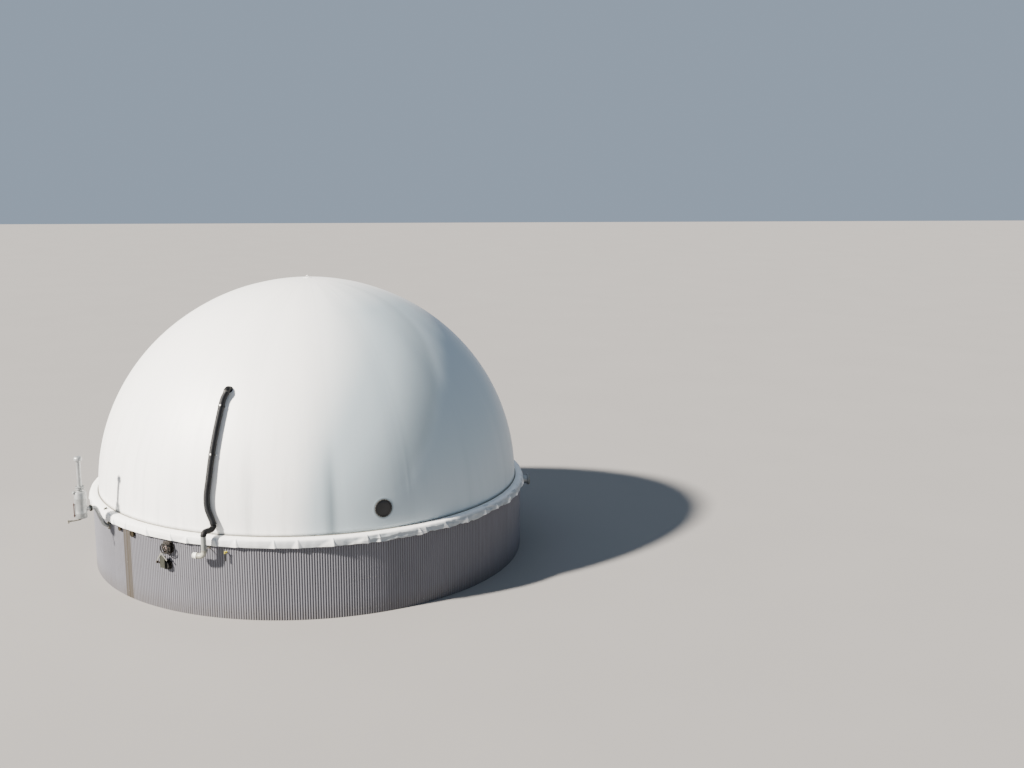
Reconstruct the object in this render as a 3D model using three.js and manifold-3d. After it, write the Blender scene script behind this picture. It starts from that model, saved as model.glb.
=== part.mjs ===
// Biogas digester: a round concrete tank with corrugated cladding, an air-supported membrane
// roof, the apron that covers its fixing, the support-air line and the gas fittings.
// Millimetres, +Z up. The origin is at the centre of the tank's base. An azimuth is in degrees
// from -Y, positive towards +X. A height is measured from the foot of the dome.

import * as THREE from 'three';
import { mergeVertices } from 'three/addons/utils/BufferGeometryUtils.js';
import Module from 'manifold-3d';

// Driving dimensions

const gap = 0.3; // clearance between pieces that touch
const facetAngle = 5; // one facet of every round wall
const sideNames = ['front', 'right', 'back', 'left']; // each quarter is centred on its side

const tankInner = 7000;
const concreteThickness = 200;
const claddingThickness = 100; // insulation and corrugated sheet
const wallHeight = 2500;
const floorThickness = 250;
const claddingHeight = 2400;

const domeRadius = 7100;
const domeRise = 6860;
const membraneThickness = 40;
const domeSteps = 16;

const railWidth = 35; // flat bar that clamps the membrane's foot
const railHeight = 25;

const apronEdgeRadius = 7420;
const apronDrop = 250;
const apronThickness = 20;

const portholeAzimuth = 16.8;
const portholeHeight = 656;
const portholeGlassRadius = 232;
const portholeRingRadius = 272;
const portholeHoleRadius = 258;
const portholeRingDepth = 60; // into the dome
const portholeRingHeight = 30;

const hoseRadius = 95;
const hoseSides = 10;
const hoseOffset = 106; // hose centreline above the membrane
const inletAzimuth = -24.6;
const inletHeight = 4070;
const inletBendRadius = 118;
const inletBaseRadius = 112;
const inletBaseThickness = 30;
const inletRoot = 12;
const hoseRoute = [[-25.15, 3750], [-25.1, 3350], [-25.15, 2800], [-25.25, 2200], [-25.35, 1650],
  [-25.6, 1150], [-25.35, 820], [-24.7, 610], [-24.1, 460]]; // azimuth and height
const strapHeights = { hose_strap_upper: 3640, hose_strap_lower: 2330 };
const strapWidth = 40;
const strapThickness = 8;
const strapFoot = { length: 70, thickness: 34 }; // the thickness starts below the membrane's face

const footAzimuth = -23.7; // the hose's lower end
const footStart = 330;
const footBendRadius = 115;
const footPipeRadius = 88;
const riserAzimuth = -24.65;
const riserOrbit = 7600; // distance of the riser from the tank's axis
const riserRadius = 80;
const riserBottom = -358;
const riserElbowRadius = 150;
const riserElbowReach = 80; // straight stretch after the bend
const socketLength = 125;
const bracket = {
  above: 28, width: 32, arm: 24, plateWidth: 90, plateHeight: 70, plateThickness: 16, wall: 8,
};

const relief = {
  azimuth: -59.7, orbit: 8140, radius: 180, base: -27, baseChamfer: 28, top: 840, shoulder: 50,
  neckRadius: 80, collarRadius: 132, collarBase: 886, collarTop: 971,
  ventRadius: 68, ventTop: 1790, capRadius: 125, capTop: 1917, capShoulder: 40,
};
const levelTube = { radius: 16, offset: 215, low: 30, high: 470, armRadius: 11, arms: [80, 420] };
const overflow = { radius: 45, height: 710, reach: 245, tilt: 25 };
const drain = { radius: 22, height: -78, reach: 410, teeRadius: 30, teeHeight: 100 };
const reliefInlet = {
  radius: 62, height: 230, sides: 12, steps: 22,
  route: [[8000, 230], [7900, 230], [7720, 218], [7655, 120], [7590, -60], [7520, -225], [7465, -345],
    [7375, -423], [7310, -435]], // distance from the axis and height
};
const reliefJoint = { inward: 295, radius: 98, thickness: 50 }; // flanges in the inlet pipe
const wallFlange = { height: -435, radius: 125, thickness: 32 };

const apronCap = { azimuth: -62.2, orbit: 7260, height: -15, radius: 60, reach: 55 };
const stubs = { // pipe ends with caps, just under the apron
  capped_stub_left: { azimuth: -53.2, height: -335, radius: 76, reach: 70 },
  capped_stub_right: { azimuth: -47.8, height: -355, radius: 98, reach: 75 },
};
const stubCapWidth = 40;
const stubCapWall = 12;
const edgeBreak = 8; // chamfers of caps and rings

const upperValve = {
  azimuth: -35.7, height: -490, flangeRadius: 200, flangeThickness: 28, neckRadius: 100, neckReach: 62,
  housingWidth: 260, housingHeight: 400, housingDepth: 54, frontRadius: 160, frontThickness: 24,
  glandRadius: 60, rimRadius: 150, rimThickness: 16, wheelReach: 204, hubRadius: 34, hubDepth: 28,
  spokeWidth: 24, spokeThickness: 14, spokes: [0, 120, 240],
};
const lowerValve = {
  azimuth: -36.1, height: -1045, flangeRadius: 150, flangeThickness: 30, neckRadius: 90, neckReach: 80,
  seatRadius: 115, seatReach: 130, housingWidth: 190, housingDepth: 56, housingLow: -70, housingHigh: 300,
  housingLeft: -170,
};
const spindle = { height: 85, length: 140, rootRadius: 40, rootLength: 24, rodRadius: 18, knobRadius: 44,
  knobLength: 46 };
const lever = { width: 30, thickness: 14, line: [[-260, 142], [-90, 400], [115, 190]] }; // x and y
const gasTap = {
  azimuth: -20.4, height: -430, rootRadius: 30, rootReach: 8, stemRadius: 14, bodyRadius: 26,
  bodyBase: 62, reach: 112, handleHeight: 78, handleThickness: 12, dropRadius: 20, dropLow: -250,
};

const outlet = {
  y: -400, height: -460, radius: 140, reach: 330, flangeRadius: 195, flangeThickness: 30, depth: 60,
};
const crown = { patchRadius: 150, patchThickness: 12, eyeRadius: 32, eyeWire: 9, eyeHeight: 46 };

// Worked out from these

const concreteOuter = tankInner + concreteThickness;
const claddingOuter = concreteOuter + claddingThickness;
const domeFoot = wallHeight + gap;
const rooted = -30; // fittings start this deep and are cut back to the wall
const ringFacets = 360 / facetAngle;
const up = new THREE.Vector3(0, 0, 1);

const wasm = await Module();
wasm.setup();

const digester = new THREE.Group();

// Helpers for shapes

function toSolid(geometry) {
  const bare = geometry.clone();
  bare.deleteAttribute('normal');
  bare.deleteAttribute('uv');
  const merged = mergeVertices(bare, 1e-2);
  const corners = merged.index.array;
  const triVerts = [];
  for (let i = 0; i < corners.length; i += 3) {
    const [a, b, c] = corners.slice(i, i + 3);
    if (a !== b && b !== c && c !== a) triVerts.push(a, b, c);
  }
  return new wasm.Manifold(new wasm.Mesh({
    numProp: 3,
    vertProperties: Float32Array.from(merged.attributes.position.array),
    triVerts: Uint32Array.from(triVerts),
  }));
}

function toGeometry(solid) {
  const mesh = solid.getMesh();
  const geometry = new THREE.BufferGeometry();
  geometry.setAttribute('position', new THREE.BufferAttribute(mesh.vertProperties, 3));
  geometry.setIndex(new THREE.BufferAttribute(mesh.triVerts, 1));
  return geometry;
}

function joined(...pieces) {
  return toGeometry(pieces.map(toSolid).reduce((whole, piece) => whole.add(piece)));
}

function cutAway(piece, ...tools) {
  return toGeometry(tools.map(toSolid).reduce((rest, tool) => rest.subtract(tool), toSolid(piece)));
}

// A turned piece: its profile is a list of [radius, z].
function turned(profile, segments = 24) {
  const points = profile.map(([radius, z]) => new THREE.Vector2(radius, z));
  return new THREE.LatheGeometry(points, segments).rotateX(Math.PI / 2);
}

function disc(radius, low, high, segments = 24) {
  return turned([[0, low], [radius, low], [radius, high], [0, high]], segments);
}

function block(width, depth, height, x = 0, y = 0, z = 0) {
  return new THREE.BoxGeometry(width, depth, height).translate(x, y, z);
}

function roundOutline(radius, sides) {
  return Array.from({ length: sides }, (_, i) => {
    const angle = (2 * Math.PI * i) / sides;
    return new THREE.Vector2(radius * Math.cos(angle), radius * Math.sin(angle));
  });
}

function swept(outline, curve, steps) {
  const shape = new THREE.Shape(outline);
  return new THREE.ExtrudeGeometry(shape, { steps, extrudePath: curve, bevelEnabled: false });
}

// A round tube through points, cut square at its first and last point. It heads one way at the
// first and leaves another way at the last.
function tube(points, heading, leaving, radius, sides, steps) {
  const lead = radius / 2;
  const first = points[0];
  const last = points.at(-1);
  const curve = new THREE.CatmullRomCurve3([
    first.clone().addScaledVector(heading, -lead), ...points, last.clone().addScaledVector(leaving, lead),
  ]);
  return cutAway(swept(roundOutline(radius, sides), curve, steps),
    beyond(first, heading.clone().negate(), radius), beyond(last, leaving, radius));
}

// A block whose face is square to a direction at a point, and which lies beyond it.
function beyond(point, direction, radius) {
  const turn = new THREE.Quaternion().setFromUnitVectors(up, direction.clone().normalize());
  return block(3 * radius, 3 * radius, 2 * radius, 0, 0, radius).applyQuaternion(turn)
    .translate(point.x, point.y, point.z);
}

class LevelArc extends THREE.Curve {
  constructor(radius, fromAzimuth, toAzimuth) {
    super();
    Object.assign(this, { radius, fromAzimuth, toAzimuth });
  }

  getPoint(t, target = new THREE.Vector3()) {
    return target.copy(around(THREE.MathUtils.lerp(this.fromAzimuth, this.toAzimuth, t), this.radius, 0));
  }
}

// A quarter of a ring whose section is a list of [radius, z], with half a gap at either end.
function quarterRing(section, side) {
  const [radius] = section[0];
  const halfGap = THREE.MathUtils.radToDeg(gap / 2 / tankInner);
  const middle = 90 * side;
  const arc = new LevelArc(radius, middle - 45 + halfGap, middle + 45 - halfGap);
  const outline = section.map(([r, z]) => new THREE.Vector2(-z, radius - r));
  return swept(outline, arc, 90 / facetAngle);
}

// Helpers for places

function around(azimuth, radius, z) {
  const angle = THREE.MathUtils.degToRad(azimuth);
  return new THREE.Vector3(radius * Math.sin(angle), -radius * Math.cos(angle), z);
}

// The point of the dome at an azimuth and height, and the direction that faces out of it there.
function onDome(azimuth, height, offset = 0) {
  const radius = domeRadius * Math.sqrt(1 - (height / domeRise) ** 2);
  const tilt = Math.atan2(height / domeRise ** 2, radius / domeRadius ** 2);
  const normal = around(azimuth, Math.cos(tilt), Math.sin(tilt));
  const point = around(azimuth, radius, domeFoot + height).addScaledVector(normal, offset);
  return { point, normal };
}

// A frame at a point, with its Z axis along a direction and its Y axis as close to up as it goes.
function frameAt(point, direction, upward = up) {
  const z = direction.clone().normalize();
  const x = upward.clone().cross(z).normalize();
  const frame = new THREE.Group();
  frame.quaternion.setFromRotationMatrix(new THREE.Matrix4().makeBasis(x, z.clone().cross(x), z));
  frame.position.copy(point);
  frame.updateMatrix();
  digester.add(frame);
  return frame;
}

// A frame on the cladding that faces outwards: X to the right, Y up, Z away from the tank.
function frameOnWall(azimuth, height) {
  return frameAt(around(azimuth, claddingOuter, wallHeight + height), around(azimuth, 1, 0));
}

function seenFrom(frame, geometry) {
  return geometry.clone().applyMatrix4(frame.matrix.clone().invert());
}

function add(name, geometry, material, frame = digester) {
  const mesh = new THREE.Mesh(geometry, material);
  mesh.name = name;
  frame.add(mesh);
}

function finish(color, roughness, metalness = 0) {
  return new THREE.MeshStandardMaterial({ color, roughness, metalness });
}

const concrete = finish(0xb6b3ab, 0.9);
const corrugatedSheet = finish(0xb4b5b9, 0.45, 0.6);
const membraneFabric = finish(0xf0efea, 0.55);
const apronFabric = finish(0xf4f4f0, 0.6);
const galvanised = finish(0xc3bfae, 0.5, 0.7);
const stainless = finish(0xc9cccd, 0.3, 0.9);
const blackRubber = finish(0x1b1e22, 0.6);
const greyPipe = finish(0xc4c7c4, 0.45);
const whitePipe = finish(0xf2f3ef, 0.4);
const darkGlass = finish(0x101418, 0.1);
const darkPaint = finish(0x2a2b2a, 0.6, 0.2);
const rustyIron = finish(0x4a3b2e, 0.8, 0.3);
const yellowPaint = finish(0xd8c030, 0.5);
const greyPaint = finish(0x8b9083, 0.7, 0.2);

// Tank: floor, concrete wall and cladding

add('tank_floor', disc(concreteOuter, 0, floorThickness, ringFacets), concrete);

function band(inner, outer, low, high) {
  return [[inner, low], [outer, low], [outer, high], [inner, high]];
}

sideNames.forEach((side, i) => {
  const wall = band(tankInner, concreteOuter, floorThickness + gap, wallHeight);
  const cladding = band(concreteOuter + gap, claddingOuter, 0, claddingHeight);
  add(`concrete_wall_${side}`, quarterRing(wall, i), concrete);
  add(`wall_cladding_${side}`, quarterRing(cladding, i), corrugatedSheet);
});

// Roof membrane and the flat bar round its foot

function domeProfile(radius, rise, steps) {
  return Array.from({ length: steps + 1 }, (_, i) => {
    const angle = (Math.PI / 2) * (i / steps);
    return [i === steps ? 0 : radius * Math.cos(angle), domeFoot + rise * Math.sin(angle)];
  });
}

function domeBody(grow) {
  return turned([[0, domeFoot], ...domeProfile(domeRadius + grow, domeRise + grow, domeSteps)], ringFacets);
}

const domeEnvelope = domeBody(gap);
const porthole = onDome(portholeAzimuth, portholeHeight);
const portholeFrame = frameAt(porthole.point, porthole.normal);
const innerRadius = domeRadius - membraneThickness;
const innerRise = domeRise - membraneThickness;
const membrane = turned([
  ...domeProfile(innerRadius, innerRise, domeSteps / 2).reverse(),
  ...domeProfile(domeRadius, domeRise, domeSteps),
], ringFacets);
const portholeCutter = disc(portholeHoleRadius, -200, 200, 24).applyMatrix4(portholeFrame.matrix);
add('outer_membrane', cutAway(membrane, portholeCutter), membraneFabric);

const railInner = domeRadius + gap;
const railOuter = railInner + railWidth;
const railBase = domeFoot;
add('membrane_clamp_rail', turned([
  [railInner, railBase], [railOuter, railBase],
  [railOuter, railBase + railHeight], [railInner, railBase + railHeight], [railInner, railBase],
], ringFacets), galvanised);

const crownFrame = frameAt(new THREE.Vector3(0, 0, domeFoot + domeRise), up, new THREE.Vector3(0, 1, 0));
const crownPatch = cutAway(disc(crown.patchRadius, rooted, crown.patchThickness),
  seenFrom(crownFrame, domeEnvelope));
const liftingEye = new THREE.TorusGeometry(crown.eyeRadius, crown.eyeWire, 6, 12).rotateX(Math.PI / 2)
  .translate(0, 0, crown.eyeHeight);
add('crown_lifting_eye', joined(crownPatch, liftingEye), membraneFabric, crownFrame);

// Apron: it lies on the wall's crown against the flat bar, and slopes out past the cladding

const apronTop = wallHeight + gap;
const apronLine = [
  [railOuter + gap, apronTop], [concreteOuter + 15, apronTop], [claddingOuter + 20, wallHeight - 48],
  [claddingOuter + 82, wallHeight - 125], [apronEdgeRadius - apronThickness, wallHeight - apronDrop],
];
const apronOuterLine = [
  [apronEdgeRadius, wallHeight - apronDrop], [claddingOuter + 102, wallHeight - 117],
  [claddingOuter + 33, wallHeight - 32], [concreteOuter + 20, apronTop + apronThickness],
  [railOuter + gap, apronTop + apronThickness],
];
sideNames.forEach((side, i) => {
  add(`weather_apron_${side}`, quarterRing([...apronLine, ...apronOuterLine], i), apronFabric);
});

// Porthole: a ring through the membrane with its flange outside, and the glass in it

const ringNeckOuter = portholeHoleRadius - 2;
const ringFlange = cutAway(turned([
  [ringNeckOuter - 4, rooted], [portholeRingRadius, rooted],
  [portholeRingRadius, portholeRingHeight - edgeBreak],
  [portholeRingRadius - edgeBreak, portholeRingHeight], [ringNeckOuter - 4, portholeRingHeight],
  [ringNeckOuter - 4, rooted],
]), seenFrom(portholeFrame, domeEnvelope));
const ringNeck = turned([
  [portholeGlassRadius, -portholeRingDepth], [ringNeckOuter, -portholeRingDepth],
  [ringNeckOuter, portholeRingHeight], [portholeGlassRadius, portholeRingHeight],
  [portholeGlassRadius, -portholeRingDepth],
]);
add('porthole_ring', joined(ringFlange, ringNeck), galvanised, portholeFrame);
add('porthole_glass', disc(portholeGlassRadius - gap, -6, 8), darkGlass, portholeFrame);

// Support-air line: elbow on the membrane, hose, foot bend, riser, elbow and socket

const inlet = onDome(inletAzimuth, inletHeight);
const inletFrame = frameAt(inlet.point, inlet.normal);
const downDome = new THREE.Vector3(0, -1, 0); // down the dome, in the inlet's own frame

// A quarter bend in a plane: from start, heading one way, it turns to head the other way.
function quarterBend(start, heading, turnTo, radius, steps = 8) {
  const centre = start.clone().addScaledVector(turnTo, radius);
  return Array.from({ length: steps + 1 }, (_, i) => {
    const angle = (Math.PI / 2) * (i / steps);
    return centre.clone()
      .addScaledVector(turnTo, -radius * Math.cos(angle))
      .addScaledVector(heading, radius * Math.sin(angle));
  });
}

const inletPoints = quarterBend(new THREE.Vector3(0, 0, inletRoot), up, downDome, inletBendRadius);
const inletEnd = inletPoints.at(-1);
const inletTube = tube(inletPoints, up, downDome, hoseRadius, hoseSides, 10);
const inletBase = cutAway(disc(inletBaseRadius, rooted, inletBaseThickness),
  seenFrom(inletFrame, domeEnvelope));
add('hose_inlet_elbow', joined(inletTube, inletBase), blackRubber, inletFrame);

const down = up.clone().negate();
const hoseStart = inletEnd.clone().addScaledVector(downDome, gap).applyMatrix4(inletFrame.matrix);
const hoseHeading = downDome.clone().applyQuaternion(inletFrame.quaternion);
const footRadius = domeRadius + hoseOffset;
const hosePoints = [
  hoseStart,
  ...hoseRoute.map(([azimuth, height]) => onDome(azimuth, height, hoseOffset).point),
  around(footAzimuth, footRadius, domeFoot + footStart),
];
const hoseCurve = new THREE.CatmullRomCurve3(hosePoints);
add('support_air_hose', tube(hosePoints, hoseHeading, down, hoseRadius, hoseSides, 32), blackRubber);

// The straps are bridges over the hose, with a foot on the membrane at either side.
for (const [name, height] of Object.entries(strapHeights)) {
  const nearest = (t) => Math.abs(hoseCurve.getPoint(t).z - domeFoot - height);
  const samples = Array.from({ length: 401 }, (_, i) => i / 400);
  const place = samples.reduce((best, t) => (nearest(t) < nearest(best) ? t : best));
  const centre = hoseCurve.getPoint(place);
  const azimuth = THREE.MathUtils.radToDeg(Math.atan2(centre.x, -centre.y));
  const frame = frameAt(centre, hoseCurve.getTangent(place), onDome(azimuth, height).normal);
  const bridge = new THREE.Shape();
  const inside = hoseRadius + 1;
  const outside = inside + strapThickness;
  const foot = -hoseOffset - 20;
  const footTop = foot + strapFoot.thickness;
  bridge.moveTo(outside + strapFoot.length, foot);
  bridge.lineTo(outside + strapFoot.length, footTop);
  bridge.lineTo(outside, footTop);
  bridge.lineTo(outside, 0);
  bridge.absarc(0, 0, outside, 0, Math.PI, false);
  bridge.lineTo(-outside, footTop);
  bridge.lineTo(-outside - strapFoot.length, footTop);
  bridge.lineTo(-outside - strapFoot.length, foot);
  bridge.lineTo(-inside, foot);
  bridge.lineTo(-inside, 0);
  bridge.absarc(0, 0, inside, Math.PI, 0, true);
  bridge.lineTo(inside, foot);
  bridge.closePath();
  const strap = new THREE.ExtrudeGeometry(bridge, {
    depth: strapWidth, bevelEnabled: false, curveSegments: 12,
  }).translate(0, 0, -strapWidth / 2);
  add(name, cutAway(strap, seenFrom(frame, domeEnvelope)), greyPipe, frame);
}

// The foot bend carries the hose level over the apron to the top of the riser.
const outward = around(riserAzimuth, 1, 0);
const footTopPoint = around(footAzimuth, footRadius, domeFoot + footStart - gap);
const riserAxis = around(riserAzimuth, riserOrbit, footTopPoint.z);
const overApron = riserAxis.clone().sub(footTopPoint).normalize();
const footBend = quarterBend(footTopPoint, down, overApron, footBendRadius);
const riserBend = quarterBend(
  riserAxis.clone().addScaledVector(overApron, -footBendRadius).setZ(footBend.at(-1).z),
  overApron, down, footBendRadius);
const riserTopZ = riserBend.at(-1).z - gap;
add('hose_foot_bend', tube([...footBend, ...riserBend], down, down, footPipeRadius, hoseSides, 20),
  blackRubber);

const riserFrame = frameAt(around(riserAzimuth, riserOrbit, 0), outward);
const riserBottomZ = wallHeight + riserBottom;
add('riser_pipe', swept(roundOutline(riserRadius, 20), new THREE.LineCurve3(
  new THREE.Vector3(0, riserTopZ, 0), new THREE.Vector3(0, riserBottomZ, 0)), 1), greyPipe, riserFrame);

const toLeft = new THREE.Vector3(-1, 0, 0);
const frameDown = new THREE.Vector3(0, -1, 0);
const elbowBend = quarterBend(new THREE.Vector3(0, riserBottomZ - gap, 0), frameDown, toLeft,
  riserElbowRadius);
const elbowEnd = elbowBend.at(-1).clone().addScaledVector(toLeft, riserElbowReach);
add('riser_elbow', tube([...elbowBend, elbowEnd], frameDown, toLeft, riserRadius + 4, 16, 10), greyPipe,
  riserFrame);
add('riser_end_socket', disc(riserRadius + 10, gap, socketLength, 24)
  .rotateY(-Math.PI / 2).translate(elbowEnd.x, elbowEnd.y, 0), whitePipe, riserFrame);

// Bracket: a ring round the riser with an arm back to a plate on the cladding
const claddingEnvelope = disc(claddingOuter + gap, -10, claddingHeight, ringFacets);
const wallDistance = riserOrbit - claddingOuter;
const bracketZ = riserBottomZ + bracket.above;
const ringInner = riserRadius + gap;
const ringOuter = riserRadius + bracket.wall;
const armLength = wallDistance - ringInner;
const bracketRing = turned([
  [ringInner, -bracket.width / 2], [ringOuter, -bracket.width / 2], [ringOuter, bracket.width / 2],
  [ringInner, bracket.width / 2], [ringInner, -bracket.width / 2],
], 20).rotateX(Math.PI / 2).translate(0, bracketZ, 0);
const bracketArm = block(bracket.arm, bracket.arm, armLength,
  0, bracketZ, -ringInner - armLength / 2 - bracket.wall / 4);
const bracketPlate = block(bracket.plateWidth, bracket.plateHeight, 2 * bracket.plateThickness,
  0, bracketZ, -wallDistance);
add('riser_bracket', cutAway(joined(bracketRing, bracketArm, bracketPlate),
  seenFrom(riserFrame, claddingEnvelope)), galvanised, riserFrame);

// Pressure relief device: body with water seal, collar, vent pipe with cap, level tube and drain.
// In its frame Z is up and Y points at the tank.

const reliefFrame = frameAt(around(relief.azimuth, relief.orbit, domeFoot), up,
  around(relief.azimuth, -1, 0));

// A cylinder that stands some way outwards of the device's axis.
function upright(radius, outwards, low, high) {
  return disc(radius, low, high, 12).translate(0, -outwards, 0);
}

// A level cylinder at a height, from one distance outwards of the axis to another.
function level(radius, height, from, to) {
  return disc(radius, from, to, 16).rotateX(Math.PI / 2).translate(0, 0, height);
}

const reliefBody = turned([
  [0, relief.base], [relief.radius - relief.baseChamfer, relief.base],
  [relief.radius, relief.base + relief.baseChamfer], [relief.radius, relief.top - relief.shoulder],
  [relief.neckRadius, relief.top], [relief.neckRadius, relief.collarBase - gap],
  [0, relief.collarBase - gap],
]);
// The overflow is a short spout that slants up and outwards at the top of the body.
const overflowSpout = disc(overflow.radius, 0, overflow.reach, 12)
  .rotateX(THREE.MathUtils.degToRad(90 - overflow.tilt)).translate(0, 0, overflow.height);
add('relief_valve_body', joined(reliefBody, overflowSpout), stainless, reliefFrame);
add('relief_valve_collar', disc(relief.collarRadius, relief.collarBase, relief.collarTop), stainless,
  reliefFrame);
add('relief_vent_pipe', disc(relief.ventRadius, relief.collarTop + gap, relief.ventTop), stainless,
  reliefFrame);
add('relief_vent_cap', turned([
  [0, relief.ventTop + gap], [relief.capRadius, relief.ventTop + gap],
  [relief.capRadius, relief.capTop - relief.capShoulder],
  [relief.capRadius - relief.capShoulder, relief.capTop], [0, relief.capTop],
]), stainless, reliefFrame);

// The level tube stands on two short arms at the body's outer side.
const reliefEnvelope = disc(relief.radius + 2 * gap, relief.base - 2 * gap, relief.top);
const tubeAndArms = joined(
  upright(levelTube.radius, levelTube.offset, levelTube.low, levelTube.high),
  ...levelTube.arms.map((height) => level(levelTube.armRadius, height, relief.radius / 2,
    levelTube.offset)));
add('relief_level_tube', cutAway(tubeAndArms, reliefEnvelope), rustyIron, reliefFrame);

// The drain drops from the body's base, runs level and outwards, and ends in a tee.
const drainPipe = joined(
  upright(drain.radius, 0, drain.height - drain.radius, relief.base),
  level(drain.radius, drain.height, -drain.radius / 2, drain.reach),
  upright(drain.teeRadius, drain.reach, drain.height - drain.teeHeight / 2,
    drain.height + drain.teeHeight / 2));
add('relief_drain_pipe', cutAway(drainPipe, reliefEnvelope), galvanised, reliefFrame);

const flangeFrame = frameOnWall(relief.azimuth, wallFlange.height);
add('relief_wall_flange', cutAway(disc(wallFlange.radius, rooted, wallFlange.thickness),
  seenFrom(flangeFrame, claddingEnvelope)), galvanised, flangeFrame);

// The way in leaves the body towards the tank, clears the apron's edge and ends on the wall flange.
const inletRoute = new THREE.CatmullRomCurve3(reliefInlet.route.map(
  ([radius, height]) => around(relief.azimuth, radius, domeFoot + height)));
const inletTubeWhole = swept(roundOutline(reliefInlet.radius, reliefInlet.sides), inletRoute,
  reliefInlet.steps);
const inletJoint = level(reliefJoint.radius, reliefInlet.height,
  -reliefJoint.inward - reliefJoint.thickness / 2, -reliefJoint.inward + reliefJoint.thickness / 2);
const flangeEnvelope = disc(wallFlange.radius + gap, 2 * rooted, wallFlange.thickness + gap);
add('relief_inlet_pipe', cutAway(
  joined(inletTubeWhole, inletJoint.applyMatrix4(reliefFrame.matrix)),
  reliefEnvelope.clone().applyMatrix4(reliefFrame.matrix),
  flangeEnvelope.applyMatrix4(flangeFrame.matrix)), galvanised);

// Small cap on the apron, next to the relief device
const hiddenBase = wallHeight - 2 * apronDrop; // closes the envelope below the apron
const apronEnvelope = turned([
  [railOuter, hiddenBase], ...apronOuterLine.map(([radius, z]) => [radius + gap, z + gap]),
  [railOuter, hiddenBase],
], ringFacets);
const capDirection = around(apronCap.azimuth, 0.5, 0.85); // outwards and mostly up
const capFrame = frameAt(around(apronCap.azimuth, apronCap.orbit, wallHeight + apronCap.height),
  capDirection);
add('apron_port_cap', cutAway(disc(apronCap.radius, rooted, apronCap.reach, 20),
  seenFrom(capFrame, apronEnvelope)), darkPaint, capFrame);

// Capped pipe ends under the apron

for (const [name, { azimuth, height, radius, reach }] of Object.entries(stubs)) {
  const frame = frameOnWall(azimuth, height);
  const pipeRadius = radius - stubCapWall;
  const capBase = reach - stubCapWidth;
  const profile = [[0, rooted], [pipeRadius, rooted], [pipeRadius, capBase], [radius, capBase],
    [radius, reach - edgeBreak], [radius - edgeBreak, reach], [0, reach]];
  add(name, cutAway(turned(profile), seenFrom(frame, claddingEnvelope)), rustyIron, frame);
}

// Upper slide valve: wall flange, neck, gate housing, front flange and gland, and its hand wheel

const upperFrame = frameOnWall(upperValve.azimuth, upperValve.height);
const housingFront = upperValve.neckReach + upperValve.housingDepth - 2;
const frontFace = housingFront + upperValve.frontThickness;
const glandEnd = upperValve.wheelReach - upperValve.hubDepth / 2 - gap;
const upperBody = joined(
  disc(upperValve.flangeRadius, rooted, upperValve.flangeThickness),
  disc(upperValve.neckRadius, rooted, upperValve.neckReach),
  block(upperValve.housingWidth, upperValve.housingHeight, upperValve.housingDepth,
    0, 0, upperValve.neckReach - 2 + upperValve.housingDepth / 2),
  disc(upperValve.frontRadius, housingFront - 2, frontFace),
  disc(upperValve.glandRadius, housingFront - 2, glandEnd));
add('upper_slide_valve', cutAway(upperBody, seenFrom(upperFrame, claddingEnvelope)), rustyIron, upperFrame);

const wheelSpokes = upperValve.spokes.map((angle) => block(
  upperValve.spokeWidth, upperValve.rimRadius, upperValve.spokeThickness, 0, upperValve.rimRadius / 2, 0,
).rotateZ(THREE.MathUtils.degToRad(angle)));
const handWheel = joined(
  new THREE.TorusGeometry(upperValve.rimRadius, upperValve.rimThickness, 6, 24),
  disc(upperValve.hubRadius, -upperValve.hubDepth / 2, upperValve.hubDepth / 2), ...wheelSpokes);
add('upper_valve_handwheel', handWheel.translate(0, 0, upperValve.wheelReach), darkPaint, upperFrame);

// Lower slide valve: body on a wall flange, gate housing, spindle to the left and a lever

const lowerFrame = frameOnWall(lowerValve.azimuth, lowerValve.height);
const lowerBody = joined(
  disc(lowerValve.flangeRadius, rooted, lowerValve.flangeThickness),
  disc(lowerValve.neckRadius, rooted, lowerValve.neckReach + 2),
  turned([
    [0, lowerValve.neckReach], [lowerValve.neckRadius, lowerValve.neckReach],
    [lowerValve.seatRadius, lowerValve.neckReach + 15], [lowerValve.seatRadius, lowerValve.seatReach],
    [0, lowerValve.seatReach],
  ]));
add('lower_slide_valve', cutAway(lowerBody, seenFrom(lowerFrame, claddingEnvelope)), darkPaint, lowerFrame);
const housingBase = lowerValve.seatReach + gap;
const housingMiddle = housingBase + lowerValve.housingDepth / 2;
add('lower_valve_housing', block(
  lowerValve.housingWidth, lowerValve.housingHigh - lowerValve.housingLow, lowerValve.housingDepth,
  lowerValve.housingLeft + lowerValve.housingWidth / 2,
  (lowerValve.housingLow + lowerValve.housingHigh) / 2, housingMiddle), greyPaint, lowerFrame);
const knobStart = spindle.length - spindle.knobLength;
add('lower_valve_spindle', turned([
  [0, 0], [spindle.rootRadius, 0], [spindle.rootRadius, spindle.rootLength],
  [spindle.rodRadius, spindle.rootLength], [spindle.rodRadius, knobStart],
  [spindle.knobRadius, knobStart], [spindle.knobRadius, spindle.length], [0, spindle.length],
]).rotateY(-Math.PI / 2).translate(lowerValve.housingLeft - gap, spindle.height, housingMiddle),
rustyIron, lowerFrame);

// The lever is a bent flat bar in front of the housing: up from the left, then down to the right.
const [[leftX, leftY], [apexX, apexY], [rightX, rightY]] = lever.line;
const half = lever.width / 2;
const leverOutline = [
  [leftX - half, leftY], [apexX - half, apexY + half], [apexX + half, apexY + half], [rightX + half, rightY],
  [rightX - half, rightY], [apexX, apexY - lever.width], [leftX + half, leftY],
].map(([x, y]) => new THREE.Vector2(x, y));
add('lower_valve_lever', new THREE.ExtrudeGeometry(new THREE.Shape(leverOutline), {
  depth: lever.thickness, bevelEnabled: false,
}).translate(0, 0, housingBase + lowerValve.housingDepth + gap), galvanised, lowerFrame);

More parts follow.
